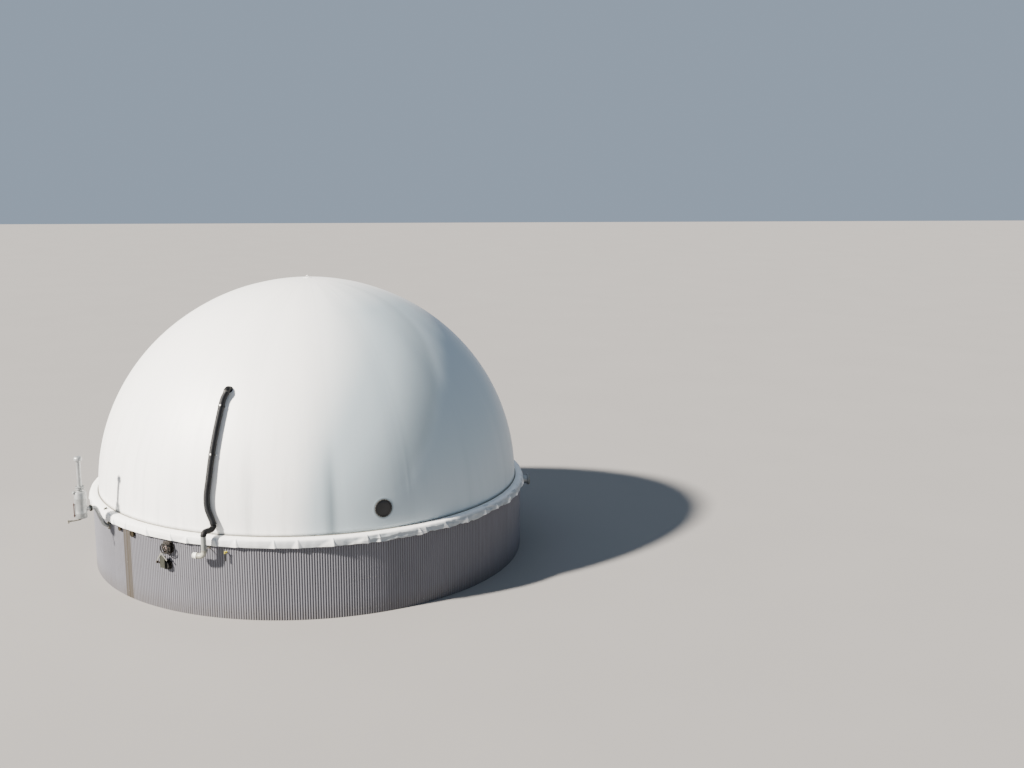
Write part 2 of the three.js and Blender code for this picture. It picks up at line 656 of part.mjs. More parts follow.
// Gas tap with a handle, and the drop pipe under it

const tapFrame = frameOnWall(gasTap.azimuth, gasTap.height);
const tapMiddle = (gasTap.bodyBase + gasTap.reach) / 2;
const tapBody = joined(
  disc(gasTap.rootRadius, rooted, gasTap.rootReach, 16),
  disc(gasTap.stemRadius, rooted, gasTap.bodyBase + 2, 12),
  disc(gasTap.bodyRadius, gasTap.bodyBase, gasTap.reach, 16),
  block(gasTap.bodyRadius, gasTap.handleHeight, gasTap.handleThickness,
    0, gasTap.handleHeight / 3, gasTap.reach));
add('gas_tap', cutAway(tapBody, seenFrom(tapFrame, claddingEnvelope)), yellowPaint, tapFrame);
add('gas_tap_pipe', disc(gasTap.dropRadius, gasTap.bodyRadius + 2 * gap, -gasTap.dropLow, 12)
  .rotateX(Math.PI / 2).translate(0, 0, tapMiddle), darkPaint, tapFrame);

// Outlet: a short nozzle that leaves along +X, closed by a blank flange

const plusX = new THREE.Vector3(1, 0, 0);
const outletFrame = frameAt(new THREE.Vector3(claddingOuter, outlet.y, wallHeight + outlet.height), plusX);
const outletNozzle = joined(
  disc(outlet.radius, -outlet.depth, outlet.reach),
  disc(outlet.flangeRadius, outlet.reach - outlet.flangeThickness, outlet.reach));
add('outlet_nozzle', cutAway(outletNozzle, seenFrom(outletFrame, claddingEnvelope)), darkPaint, outletFrame);
add('outlet_blank_flange',
  disc(outlet.flangeRadius, outlet.reach + gap, outlet.reach + outlet.flangeThickness), galvanised,
  outletFrame);

export default digester;
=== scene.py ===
# Biogas digester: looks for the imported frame. Metres, +Z up. An azimuth is in degrees from -Y,
# positive towards +X. A height is measured from the foot of the dome.

import bmesh
import bpy
import numpy as np
from mathutils import Matrix


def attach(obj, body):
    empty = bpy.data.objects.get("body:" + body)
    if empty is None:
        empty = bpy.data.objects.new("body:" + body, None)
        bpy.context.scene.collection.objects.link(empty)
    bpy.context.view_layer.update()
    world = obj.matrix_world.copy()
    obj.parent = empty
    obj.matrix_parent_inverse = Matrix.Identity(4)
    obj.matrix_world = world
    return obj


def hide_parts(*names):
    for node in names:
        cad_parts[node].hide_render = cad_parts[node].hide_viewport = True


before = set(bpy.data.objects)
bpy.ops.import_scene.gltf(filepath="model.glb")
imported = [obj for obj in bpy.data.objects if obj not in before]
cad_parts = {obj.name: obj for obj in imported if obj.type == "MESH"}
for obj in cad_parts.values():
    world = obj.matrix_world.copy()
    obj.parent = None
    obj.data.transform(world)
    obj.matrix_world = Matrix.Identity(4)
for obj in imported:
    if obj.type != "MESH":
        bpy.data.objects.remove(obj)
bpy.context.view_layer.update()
print("frame loaded with", len(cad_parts), "nodes")

# Sizes that several pieces share
tank = {
    "wallHeight": 2.5,
    "domeFoot": 2.5003,
    "domeRadius": 7.1,
    "domeRise": 6.86,
    "claddingOuter": 7.3,
    "railOuter": 7.1353,
}
sides = ("front", "right", "back", "left")  # quarters, each centred on its side
up, down = np.array([0.0, 0.0, 1.0]), np.array([0.0, 0.0, -1.0])


# Helpers for numbers and places

def ramp(value, width=1.0):
    # value / width between 0 and 1
    return np.clip(value / width, 0, 1)


def smoothStep(value, width=1.0):
    # 3 t^2 - 2 t^3 of the ramp t
    t = ramp(value, width)
    return t * t * (3 - 2 * t)


def unit(v):
    return v / np.linalg.norm(v, axis=-1, keepdims=True)


def around(azimuth, radius, z):
    # a point at a distance from the tank's axis, or an array of them
    angle = np.radians(azimuth)
    return np.stack(np.broadcast_arrays(radius * np.sin(angle), -radius * np.cos(angle), z), -1)


def domeRadiusAt(height):
    return tank["domeRadius"] * np.sqrt(1 - (height / tank["domeRise"]) ** 2)


def domeNormal(azimuth, height):
    # the ellipse's gradient at a height, turned to the azimuth
    tilt = np.arctan2(height / tank["domeRise"] ** 2, domeRadiusAt(height) / tank["domeRadius"] ** 2)
    return around(azimuth, np.cos(tilt), np.sin(tilt))


def onDome(azimuth, height, offset=0.0):
    # radius and height lie on an ellipse, and offset moves the point out along its normal
    point = around(azimuth, domeRadiusAt(height), tank["domeFoot"] + height)
    return point + offset * domeNormal(azimuth, height)


def frameAt(point, direction, upward=up):
    # origin and axes (as rows): Z along the direction, Y as close to upward as it goes
    z = unit(np.asarray(direction, float))
    x = unit(np.cross(upward, z))
    return np.asarray(point, float), np.stack([x, np.cross(z, x), z])


def onRoof(azimuth, height):
    return frameAt(onDome(azimuth, height), domeNormal(azimuth, height))


def onWall(azimuth, height):
    return frameAt(around(azimuth, tank["claddingOuter"], tank["wallHeight"] + height), around(azimuth, 1, 0))


def toWorld(points, place):
    return np.asarray(points, float) @ place[1] + place[0]


# Helpers for shapes: a shape is its vertices and a list of face arrays

def placed(shape, place):
    return toWorld(shape[0], place), shape[1]


def moved(shape, x, y, z=0.0):
    return shape[0] + [x, y, z], shape[1]


def laid(shape, way=1):
    # turned about X until its Z points along Y, or against it when way is -1
    return shape[0][:, [0, 2, 1]] * [1, way, -way], shape[1]


def joined(*shapes):
    starts = np.cumsum([0] + [len(s[0]) for s in shapes])
    return np.concatenate([s[0] for s in shapes]), [f + n for s, n in zip(shapes, starts) for f in s[1]]


def gridFaces(rows, columns, closeRows=False, closeColumns=False):
    # quads between neighbours on a grid of rows by columns
    r = np.arange(rows if closeRows else rows - 1)[:, None]
    c = np.arange(columns if closeColumns else columns - 1)[None, :]
    r, c = np.broadcast_arrays(r, c)
    r2, c2 = (r + 1) % rows, (c + 1) % columns
    quads = np.stack([r * columns + c, r * columns + c2, r2 * columns + c2, r2 * columns + c], -1)
    return quads.reshape(-1, 4)


def tubeFaces(rows, columns, closed):
    # rings of vertices joined into a tube, whose ends are capped or meet
    ends = [np.arange(columns)[None, ::-1], np.arange(columns)[None] + (rows - 1) * columns]
    return [gridFaces(rows, columns, closed, True)] + ([] if closed else ends)


def circle(columns, radius=1.0):
    angle = np.arange(columns) * 2 * np.pi / columns
    return radius * np.stack([np.cos(angle), np.sin(angle)], -1)


def roundedRectangle(width, height, radius, steps=4):
    # four quarter circles, one round each corner
    angle = (np.arange(4)[:, None] * 90 + np.linspace(0, 90, steps)[None]) * np.pi / 180
    corner = np.array([[1, 1], [-1, 1], [-1, -1], [1, -1]]) * (np.array([width, height]) / 2 - radius)
    return (corner[:, None] + radius * np.stack([np.cos(angle), np.sin(angle)], -1)).reshape(-1, 2)


def stacked(outline, levels, closed=False):
    # the outline carried up through levels of (scale, z)
    scale, z = np.array(levels, float).T
    rings = outline[None] * scale[:, None, None]
    verts = np.concatenate([rings, np.broadcast_to(z[:, None, None], rings.shape[:2] + (1,))], -1)
    return verts.reshape(-1, 3), tubeFaces(*rings.shape[:2], closed)


def turned(profile, columns=48):
    # a circle carried up through (radius, z)
    return stacked(circle(columns), [(max(r, 1e-5), z) for r, z in profile])


def hoop(profile, columns=48):
    # a closed section of (radius, z) turned about Z
    return stacked(circle(columns), profile, closed=True)


def ring(inner, outer, low, high, chamfer=0.002, columns=48):
    # a flat ring with its edges taken off
    c = chamfer
    return hoop([(inner, low + c), (inner + c, low), (outer - c, low), (outer, low + c), (outer, high - c),
                 (outer - c, high), (inner + c, high), (inner, high - c)], columns)


def disc(radius, low, high, chamfer=0.002, columns=48):
    c = chamfer
    return turned([(radius - c, low), (radius, low + c), (radius, high - c), (radius - c, high)], columns)


def block(width, height, low, high, radius=0.004):
    inset = 1 - radius / width
    return stacked(roundedRectangle(width, height, radius),
                   [(inset, low), (1, low + radius), (1, high - radius), (inset, high)])


def sweep(outline, path, reference, scale=1.0, closed=False):
    # an outline carried along a path, square to it, with its Y axis as near the reference as it goes
    path = np.asarray(path, float)
    ahead = np.roll(path, -1, 0) - np.roll(path, 1, 0)
    if not closed:
        ahead[0], ahead[-1] = path[1] - path[0], path[-1] - path[-2]
    ahead = unit(ahead)
    side = unit(np.cross(np.broadcast_to(reference, path.shape), ahead))
    across = np.cross(ahead, side)
    sized = outline[None] * np.broadcast_to(scale, len(path))[:, None, None]
    points = path[:, None] + sized[..., :1] * side[:, None] + sized[..., 1:] * across[:, None]
    return points.reshape(-1, 3), tubeFaces(len(path), len(outline), closed)


def smoothPath(points, spacing):
    # Catmull-Rom through the points, then steps of even length along it
    p = np.asarray(points, float)
    p = np.concatenate([[2 * p[0] - p[1]], p, [2 * p[-1] - p[-2]]])
    t = np.linspace(0, 1, 24, endpoint=False)[None, :, None]
    a, b, c, d = (p[i:len(p) - 3 + i, None] for i in range(4))
    curve = 0.5 * (2 * b + (c - a) * t + (2 * a - 5 * b + 4 * c - d) * t**2 + (3 * b - a - 3 * c + d) * t**3)
    curve = np.concatenate([curve.reshape(-1, 3), p[-2:-1]])
    along = np.concatenate([[0], np.cumsum(np.linalg.norm(np.diff(curve, axis=0), axis=1))])
    even = np.linspace(0, along[-1], max(2, int(round(along[-1] / spacing)) + 1))
    return np.stack([np.interp(even, along, curve[:, k]) for k in range(3)], -1), even


def quarterBend(start, heading, turnTo, radius, steps=10):
    # a quarter of a circle from start: it heads one way and turns to the other
    angle = np.linspace(0, np.pi / 2, steps + 1)[:, None]
    return start + radius * ((1 - np.cos(angle)) * turnTo + np.sin(angle) * heading)


# A hexagon bolt on a washer, with its base on Z = 0, at a width of one metre across flats
boltHead = joined(turned([(0.95, 0), (0.95, 0.12), (0.9, 0.15)], 16),
                  stacked(circle(6, 0.577), [(1, 0.15), (1, 0.72), (0.88, 0.8)]))


def boltsAt(origins, axes, size):
    # one bolt at each origin (n, 3), on its axes (n, 3, 3); size is the width across flats
    verts, faces = boltHead
    many = np.einsum("vk,nkj->nvj", verts * size, axes) + origins[:, None]
    steps = np.arange(len(origins))[:, None, None] * len(verts)
    return many.reshape(-1, 3), [(f[None] + steps).reshape(-1, f.shape[1]) for f in faces]


def bolts(count, orbit, size, place, z=0.0):
    # a ring of bolts on a flange
    origins = toWorld(np.insert(circle(count, orbit), 2, z, axis=1), place)
    return boltsAt(origins, np.broadcast_to(place[1], (count, 3, 3)), size)


# Helpers for objects

def addObject(name, data, place=None):
    item = bpy.data.objects.new(name, data)
    if place:
        rows = np.column_stack([place[1].T, place[0]])
        item.matrix_world = Matrix([*rows.tolist(), (0, 0, 0, 1)])
    bpy.context.scene.collection.objects.link(item)
    return item


def addPiece(name, shape, finish, replaces=(), attributes=None, sharpAngle=38, slotName=None):
    # puts a shape into a mesh with its doubles merged, and names its body and CAD nodes
    verts, faces = shape
    material, usualSlot = materials[finish]
    slotName = slotName or usualSlot
    mesh = bpy.data.meshes.new(name)
    mesh.from_pydata(verts.tolist(), [], [face for array in faces for face in array.tolist()])
    for key, values in (attributes or {}).items():
        mesh.attributes.new(key, "FLOAT", "POINT").data.foreach_set("value", np.asarray(values, np.float32))
    work = bmesh.new()
    work.from_mesh(mesh)
    bmesh.ops.remove_doubles(work, verts=work.verts, dist=2e-5)
    bmesh.ops.recalc_face_normals(work, faces=work.faces)
    work.to_mesh(mesh)
    work.free()
    mesh.shade_smooth()
    mesh.set_sharp_from_angle(angle=np.radians(sharpAngle))
    mesh.materials.append(material)
    piece = addObject(name, mesh)
    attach(piece, "root")
    if replaces:
        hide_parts(*replaces)
    return piece


def thicken(piece, thickness, offset):
    wall = piece.modifiers.new("thickness", "SOLIDIFY")
    wall.thickness = thickness
    wall.offset = offset


# Camera: its place and turn were solved from the photograph's outlines. Angles are in degrees.

camera = {
    "location": (0.0, -40.074, 13.437),
    "heading": 10.05,  # to the right of +Y
    "tilt": -11.08,
    "roll": 0.35,
    "focal": 1160.43,  # pixels, in an image 1024 wide
    "imageWidth": 1024,
    "sensor": 36.0,
    "clipEnd": 500,
}


def makeCamera():
    c = camera
    data = bpy.data.cameras.new("camera")
    data.sensor_width = c["sensor"]
    data.lens = c["focal"] / c["imageWidth"] * c["sensor"]
    data.clip_end = c["clipEnd"]
    heading, tilt, roll = np.radians([c["heading"], c["tilt"], c["roll"]])
    ahead = np.array([np.sin(heading) * np.cos(tilt), np.cos(heading) * np.cos(tilt), np.sin(tilt)])
    right = np.array([np.cos(heading), -np.sin(heading), 0])
    above = np.cross(right, ahead)
    place = frameAt(c["location"], -ahead, above * np.cos(roll) - right * np.sin(roll))
    bpy.context.scene.camera = addObject("camera", data, place)


makeCamera()
print("camera placed")


# Materials. A link is a node and its output.

def linear(colour):
    # sRGB hex to linear RGBA
    value = np.array([int(colour[i:i + 2], 16) for i in (1, 3, 5)]) / 255
    value = np.where(value <= 0.04045, value / 12.92, ((value + 0.055) / 1.055) ** 2.4)
    return (*value.tolist(), 1.0)


def addNode(tree, kind, values=None, links=None, **settings):
    node = tree.nodes.new("ShaderNode" + kind)
    for key, value in settings.items():
        setattr(node, key, value)
    for socket, value in (values or {}).items():
        node.inputs[socket].default_value = value
    for socket, (source, output) in (links or {}).items():
        tree.links.new(source.outputs[output], node.inputs[socket])
    return node


def noise(tree, vector, scale, detail=2.0, roughness=0.5):
    values = {"Scale": scale, "Detail": detail, "Roughness": roughness}
    return addNode(tree, "TexNoise", values, {"Vector": vector}), "Fac"


def stretch(tree, source, low, high, toLow=0.0, toHigh=1.0):
    # low to high becomes toLow to toHigh, and no further
    values = {"From Min": low, "From Max": high, "To Min": toLow, "To Max": toHigh}
    return addNode(tree, "MapRange", values, {"Value": source}), "Result"


def product(tree, first, second):
    return addNode(tree, "Math", links={0: first, 1: second}, operation="MULTIPLY"), 0


def mark(tree, name):
    return addNode(tree, "Attribute", attribute_name=name), "Fac"


def mixed(tree, under, colour, share):
    # a share of a colour over another colour, or over a link
    values, links = {7: linear(colour)}, {0: share}
    if isinstance(under, str):
        values[6] = linear(under)
    else:
        links[6] = under
    return addNode(tree, "Mix", values, links, data_type="RGBA"), 2


def fineRelief(tree, vector, scale, detail, strength, distance):
    grain = noise(tree, vector, scale, detail)
    return addNode(tree, "Bump", {"Strength": strength, "Distance": distance}, {"Height": grain}), 0


def startMaterial(name, **constants):
    material = bpy.data.materials.new(name)
    material.use_nodes = True
    tree = material.node_tree
    tree.nodes.clear()
    shader = addNode(tree, "BsdfPrincipled", {k.replace("_", " "): v for k, v in constants.items()})
    addNode(tree, "OutputMaterial", links={"Surface": (shader, "BSDF")})
    return material, tree, shader, (addNode(tree, "TexCoord"), "Object")


def wire(tree, shader, tone, roughness=None, normal=None):
    for socket, link in (("Base Color", tone), ("Roughness", roughness), ("Normal", normal)):
        if link:
            tree.links.new(link[0].outputs[link[1]], shader.inputs[socket])


def weathered(name, slot, base, dark, scale, roughness, bump=0.0, bumpScale=None, spread=0.5, **constants):
    # two tones and a roughness that wander together, with a fine relief; scale is spots per metre
    if "Metallic" not in constants:  # metals keep the default
        constants = {"IOR": 1.5, **constants}
    material, tree, shader, place = startMaterial(name, **constants)
    cloud = noise(tree, place, scale, 6.0, 0.6)
    tone = mixed(tree, base, dark, stretch(tree, cloud, 0.5 - spread / 2, 0.5 + spread / 2))
    grain = fineRelief(tree, place, bumpScale, 4.0, 0.6, bump) if bump else None
    wire(tree, shader, tone, stretch(tree, cloud, 0, 1, *roughness), grain)
    return material, slot


# PVC-coated polyester, knife-coated and lacquered: a satin off-white with a faint sheen. Rain
# leaves pale grey streaks down it and darker ones down the seams, the welded seams show as faint
# bands, and painted shade greys the side turned from the sun and a broad band over the front.
def membraneFabric():
    material, tree, shader, place = startMaterial("pvc coated polyester", IOR=1.5, Specular_IOR_Level=0.75,
                                                  Coat_Weight=0.5, Coat_Roughness=0.5)
    parts = addNode(tree, "SeparateXYZ", links={0: place})
    turn = addNode(tree, "Math", links={0: (parts, "X"), 1: (parts, "Y")}, operation="ARCTAN2")
    across = addNode(tree, "CombineXYZ", links={"X": (turn, 0), "Z": (parts, "Z")})
    run = addNode(tree, "Mapping", {"Scale": (14.0, 1.0, 0.22)}, {"Vector": (across, 0)})  # 0.5 m by 5 m
    rain = noise(tree, (run, 0), 1.6, 5.0, 0.62)
    soiled = product(tree, stretch(tree, rain, 0.48, 0.8, 0.0, 0.6),
                     stretch(tree, (parts, "Z"), 6.5, 2.5, 0.12, 1.0))
    tone = mixed(tree, "#f5f5f2", "#eff0f0", noise(tree, place, 0.35, 3.0))
    tone = mixed(tree, tone, "#b7bbbb", soiled)
    tone = mixed(tree, tone, "#dfe0dc", stretch(tree, mark(tree, "seam"), 0, 1, 0.0, 0.1))
    # painted shade: a blue grey over the side turned from the sun
    tone = mixed(tree, tone, "#9baeb8", mark(tree, "grime"))
    # dirt down the seams, and the painted shade band over the front
    tone = mixed(tree, tone, "#5f6d75", mark(tree, "streak"))
    wire(tree, shader, tone, stretch(tree, rain, 0, 1, 0.42, 0.6),
         fineRelief(tree, place, 2.2, 2.0, 0.25, 0.01))
    return material


# The same fabric in the apron, whiter, greyed in the folds: painted shade, with some dirt.
def apronFabric():
    material, tree, shader, place = startMaterial("pvc apron fabric", IOR=1.5)
    cloud = noise(tree, place, 3.0, 6.0, 0.65)
    # painted shade in the folds, with some dirt, mixed in as grey
    dirt = product(tree, mark(tree, "crease"), stretch(tree, cloud, 0.3, 0.7, 0.75, 1.0))
    wire(tree, shader, mixed(tree, "#f5f5f3", "#8f979d", dirt), stretch(tree, cloud, 0, 1, 0.4, 0.62),
         fineRelief(tree, place, 14.0, 3.0, 0.3, 0.006))
    return material


# Galvanised corrugated sheet: zinc gone dull, a lilac grey that differs a little from sheet to
# sheet, with painted shade in the grooves and under the apron, darker where splash water reaches it
# and brown where a pipe has dripped.
def corrugatedSheet():
    material, tree, shader, place = startMaterial("galvanised corrugated sheet", Metallic=0.3)
    height = (addNode(tree, "SeparateXYZ", links={0: place}), "Z")
    flat = addNode(tree, "Mapping", {"Scale": (3.0, 3.0, 0.5)}, {"Vector": place})
    cloud = noise(tree, (flat, 0), 3.0, 6.0, 0.65)
    tone = mixed(tree, "#6c6d75", "#76777f", mark(tree, "sheet"))
    tone = mixed(tree, tone, "#64646a", stretch(tree, cloud, 0.45, 0.8, 0.0, 0.5))
    # painted shade in the grooves
    tone = mixed(tree, tone, "#47454a", stretch(tree, mark(tree, "groove"), 0.35, 0.9, 0.0, 0.8))
    tone = mixed(tree, tone, "#544e46", product(tree, stretch(tree, height, 0.55, 0.0, 0.0, 0.75), cloud))
    # painted shade: a dark band under the apron's edge
    tone = mixed(tree, tone, "#2a292b", stretch(tree, height, 2.2, 2.35, 0.0, 0.25))
    tone = mixed(tree, tone, "#443d31", mark(tree, "stain"))
    wire(tree, shader, tone, stretch(tree, cloud, 0, 1, 0.5, 0.7))
    return material


# Each material with the slot that its pieces usually stand for
materials = {
    "membrane": (membraneFabric(), "membrane_fabric"),
    "apron": (apronFabric(), "apron_fabric"),
    "sheet": (corrugatedSheet(), "corrugated_sheet"),
    # cast concrete, matt, with pores about 10 mm across
    "concrete": weathered("cast concrete", "concrete", "#b3afa6", "#8f8b83", 3.0, (0.8, 0.95), 0.004, 60.0),
    # hot-dip galvanised steel, weathered: soft grey-beige spangle 20 mm across
    "galvanised": weathered("galvanised steel", "galvanised_steel", "#a19e94", "#77736a", 18.0, (0.45, 0.65),
                            0.0006, 120.0, Metallic=0.5),
    # the sight glass's clamping ring: steel under zinc-dust paint, matt and grey
    "ringPaint": weathered("zinc dust paint", "galvanised_steel", "#454543", "#32312e", 14.0, (0.55, 0.75)),
    # pickled stainless sheet, dulled by weather and gas; it still mirrors the white roof softly
    "stainless": weathered("dulled stainless steel", "stainless_steel", "#b2b5b6", "#85898a", 7.0,
                           (0.38, 0.55), Metallic=0.55),
    # soft PVC hose, black, greyed by the sun
    "hose": weathered("black pvc hose", "black_rubber", "#0c0d10", "#17191d", 5.0, (0.4, 0.6), 0.0004, 200.0,
                      Specular_IOR_Level=0.25),
    # moulded EPDM rubber: deeper black and duller
    "rubber": weathered("epdm rubber", "black_rubber", "#08090a", "#131417", 9.0, (0.5, 0.7), 0.0005, 160.0,
                        Specular_IOR_Level=0.25),
    # extruded PVC pipe, grey, satin
    "greyPipe": weathered("grey pvc pipe", "grey_pipe", "#818583", "#6d716e", 4.0, (0.35, 0.5)),
    # moulded PVC bend, yellowed to beige
    "beigePipe": weathered("yellowed pvc bend", "grey_pipe", "#a5a498", "#8a887b", 6.0, (0.3, 0.45)),
    # moulded PVC socket, white and glossier
    "whitePipe": weathered("white pvc socket", "white_pipe", "#f2f2ee", "#d9d9d2", 6.0, (0.25, 0.4)),
    # toughened sight glass, drawn opaque: its near-black colour is painted shade for the dark room behind it
    "glass": weathered("sight glass", "dark_glass", "#14171a", "#232528", 3.5, (0.1, 0.25), IOR=1.52,
                       Specular_IOR_Level=0.4),
    # black enamel on cast iron, chalked and chipped
    "enamel": weathered("black enamel", "dark_paint", "#0a0b0c", "#23221f", 14.0, (0.5, 0.75), 0.0012, 70.0,
                        Specular_IOR_Level=0.3),
    # rusty cast iron: brown-black skin with orange bloom, sand-cast grain of 3 mm
    "iron": weathered("rusty cast iron", "rusty_iron", "#13110e", "#2f2818", 11.0, (0.7, 0.9), 0.0025, 90.0,
                      spread=0.3, Specular_IOR_Level=0.2),
    # cast iron under dust, with rust between: the upper valve
    "dustyIron": weathered("dusty cast iron", "rusty_iron", "#2f2925", "#12100e", 9.0, (0.6, 0.9), 0.0025,
                           90.0, spread=0.3),
    # its spindle sleeve, in pale primer with a pinkish cast
    "palePrimer": weathered("pale primer", "rusty_iron", "#9a8c87", "#6a5d58", 16.0, (0.6, 0.8), 0.001, 90.0),
    # red-brown primer and rust on thin pipe
    "redIron": weathered("red primed steel", "rusty_iron", "#4a2620", "#2f1c16", 20.0, (0.6, 0.8)),
    # grey-green paint, chalked
    "housing": weathered("grey green paint", "dark_paint", "#2c2e24", "#1b1c15", 10.0, (0.6, 0.8), 0.001,
                         80.0),
    # flat bar with a pale lime crust
    "limedBar": weathered("limed steel bar", "galvanised_steel", "#7b7b75", "#5e5c56", 20.0, (0.6, 0.8),
                          0.001, 120.0),
    # bright zinc-plated fasteners
    "zinc": weathered("zinc plated steel", "galvanised_steel", "#8f8e89", "#68665f", 40.0, (0.45, 0.6),
                      Metallic=0.5),
    # yellow enamel on brass
    "yellow": weathered("yellow enamel", "yellow_paint", "#d2c535", "#8f8420", 30.0, (0.3, 0.5), 0.0008,
                        90.0),
}
print("materials made:", len(materials))


# Roof membrane: a half ellipse turned about the axis, drawn in a little along each welded seam

membrane = {
    "gores": 18,
    "firstSeam": -176.0,  # azimuth, as are all angles about the axis
    "seamHalfWidth": 0.03,
    "seamEdge": 0.006,
    "seamRise": 0.001,
    "valleyDepth": 0.008,  # the stiffer seam pulls the fabric in
    "valleyHalfWidth": 0.35,
    "valleyFade": (1.5, 0.08),  # over this radius round the crown, and this sine of the climb at the foot
    "thickness": 0.003,
    "porthole": (16.8, 0.656),  # azimuth and height
    "portholeHole": 0.258,
    "rimReach": 0.035,  # vertices this close to the hole are drawn onto it
    # vertices: degrees between them, and finer beside each seam and round the porthole
    "azimuthStep": 1.6,
    "climbSteps": 81,
    "besideSeam": (0.2, 0.26, 1.0, 2.0),
    "roundPorthole": (-3, 3, 25),
    "lastClimb": 89.98,
    # painted shade on the side turned from the sun: it begins at an azimuth that moves with the height,
    # and sets in over a width that grows with the height's square; there is none round the crown
    "grime": {"begin": (-8.3, 0.45), "width": (10.4, -1.5, 1.2), "end": 100.0, "fade": 35.0, "share": 0.87,
              "crown": (0.8, 2.5)},
    # rain draws dirt down the seams, most of it down two of them (azimuth: share)
    "streak": {"halfWidth": 0.18, "height": 2.2, "share": 0.06, "strong": {4.0: 0.75, -16.0: 0.2}},
    # a broad band of painted shade, carried in the same mark as the seam dirt, leans over the front:
    # the azimuth of its edge at the foot and by height, how far it goes on past that edge and sets in
    # there, its reach and fade, its share and what is added past the seam, its middle height and half length
    "paintedShadeBand": {"edge": (15.0, 7.2), "past": 1.5, "setIn": 5.0, "reach": 21.0, "fade": 17.0,
                 "shares": (0.38, 0.1), "seam": 23.4, "seamWidth": 1.2, "middle": 3.6, "half": 2.6},
}


def fineSteps(coarse, centres, offsets):
    return np.unique(np.round(np.concatenate([coarse, (centres[:, None] + offsets[None]).ravel()]), 5))


def makeMembrane():
    m = membrane
    goreAngle = 360 / m["gores"]
    seams = m["firstSeam"] + np.arange(m["gores"]) * goreAngle
    holeAzimuth, holeHeight = m["porthole"]
    holeClimb = np.degrees(np.arcsin(holeHeight / tank["domeRise"]))
    beside, fine = np.array(m["besideSeam"]), np.linspace(*m["roundPorthole"])
    azimuth = fineSteps(np.arange(-180, 180, m["azimuthStep"]), seams, np.concatenate([-beside, [0], beside]))
    azimuth = fineSteps(azimuth, np.array([holeAzimuth]), fine)
    azimuth = azimuth[(azimuth >= -180) & (azimuth < 180 - 1e-4)]
    climb = fineSteps(np.linspace(0, 90, m["climbSteps"])[:-1], np.array([holeClimb]), fine)
    climb = np.append(climb[climb >= 0], m["lastClimb"])
    climb, azimuth = np.meshgrid(climb, azimuth, indexing="ij")
    # the porthole: no faces inside it, and the nearest vertices drawn onto its rim
    across = np.radians(azimuth - holeAzimuth) * tank["domeRadius"] * np.cos(np.radians(climb))
    distance = np.hypot(across, np.radians(climb - holeClimb) * tank["domeRise"])
    quads = gridFaces(*climb.shape, closeColumns=True)
    quads = quads[~(distance.ravel()[quads] < m["portholeHole"]).any(1)]
    near = np.zeros(climb.size, bool)
    near[quads.ravel()] = True
    rim = near.reshape(climb.shape) & (distance < m["portholeHole"] + m["rimReach"])
    pull = np.where(rim, m["portholeHole"] / np.maximum(distance, 1e-6), 1.0)
    azimuth = holeAzimuth + (azimuth - holeAzimuth) * pull
    climb = holeClimb + (climb - holeClimb) * pull
    # distance along the surface to the nearest seam
    radius = np.cos(np.radians(climb)) * tank["domeRadius"]
    gore = (azimuth - m["firstSeam"]) / goreAngle
    toSeam = np.abs((gore + 0.5) % 1 - 0.5) * np.radians(goreAngle) * radius
    seam = np.clip((m["seamHalfWidth"] - toSeam) / m["seamEdge"] + 1, 0, 1)
    fade = ramp(radius, m["valleyFade"][0]) * ramp(np.sin(np.radians(climb)), m["valleyFade"][1])
    valley = np.exp(-(toSeam / m["valleyHalfWidth"]) ** 2)
    # the seam stands out by its own thickness, in a valley that is a bell curve of that distance
    offset = m["seamRise"] * seam - m["valleyDepth"] * valley * fade
    height = tank["domeRise"] * np.sin(np.radians(climb))
    points = onDome(azimuth, height, offset[..., None])
    # painted shade on the side turned from the sun
    g = m["grime"]
    begin = g["begin"][0] + g["begin"][1] * height
    width = g["width"][0] + g["width"][1] * height + g["width"][2] * height**2
    grime = g["share"] * smoothStep(azimuth - begin, width) * smoothStep(g["end"] - azimuth, g["fade"])
    grime = grime * ramp(radius - g["crown"][0], g["crown"][1])
    # dirt on the seams fades with a bell curve across them and the fourth power of the height
    s = m["streak"]
    shares = np.full(m["gores"], s["share"])
    for seamAzimuth, share in s["strong"].items():
        shares[round((seamAzimuth - m["firstSeam"]) / goreAngle)] = share
    streak = shares[np.round(gore).astype(int) % m["gores"]]
    streak = streak * np.exp(-((toSeam / s["halfWidth"]) ** 2) - (height / s["height"]) ** 4)
    # painted shade: a broad band leaning over the front, added to the seam dirt in the same mark
    b = m["paintedShadeBand"]
    before = b["edge"][0] + b["edge"][1] * height - azimuth
    lean = smoothStep(b["reach"] - before, b["fade"]) * smoothStep(before + b["past"], b["setIn"])
    share = b["shares"][0] + b["shares"][1] * smoothStep(azimuth - b["seam"], b["seamWidth"])
    streak = streak + share * lean * np.exp(-(((height - b["middle"]) / b["half"]) ** 4))
    piece = addPiece("roof_membrane", (points.reshape(-1, 3), [quads]), "membrane", ["outer_membrane"],
                     {"seam": seam.ravel(), "grime": grime.ravel(), "streak": streak.ravel()}, sharpAngle=60)
    thicken(piece, m["thickness"], -1)
    return piece


roofMembrane = makeMembrane()
print("roof membrane made")


# Cladding: sheets of round corrugation, pitch 76 mm and depth 18 mm

cladding = {
    "wavesPerQuarter": 151,
    "stepsPerWave": 8,
    "depth": 0.018,
    "clear": 0.0005,  # the crests stay inside the solid's surface by this much
    "wavesPerSheet": 13,
    "heights": (0.003, 0.15, 0.4, 0.9, 1.5, 2.0, 2.4),
    "innerRadius": 7.2008,
    # the brown stain: azimuths, widths of its edges, the least share and what a wave may have on top
    "stain": {"from": -52.6, "to": -48.9, "edges": (0.5, 0.8), "shares": (0.65, 0.35)},
    "screwHeights": (0.22, 1.15, 2.08),
    "screwEvery": 3,
    "screwSize": 0.011,
}


def quarterStart(index):
    # the azimuth where a quarter begins, between -180 and 180
    return (index * 90 + 135) % 360 - 180


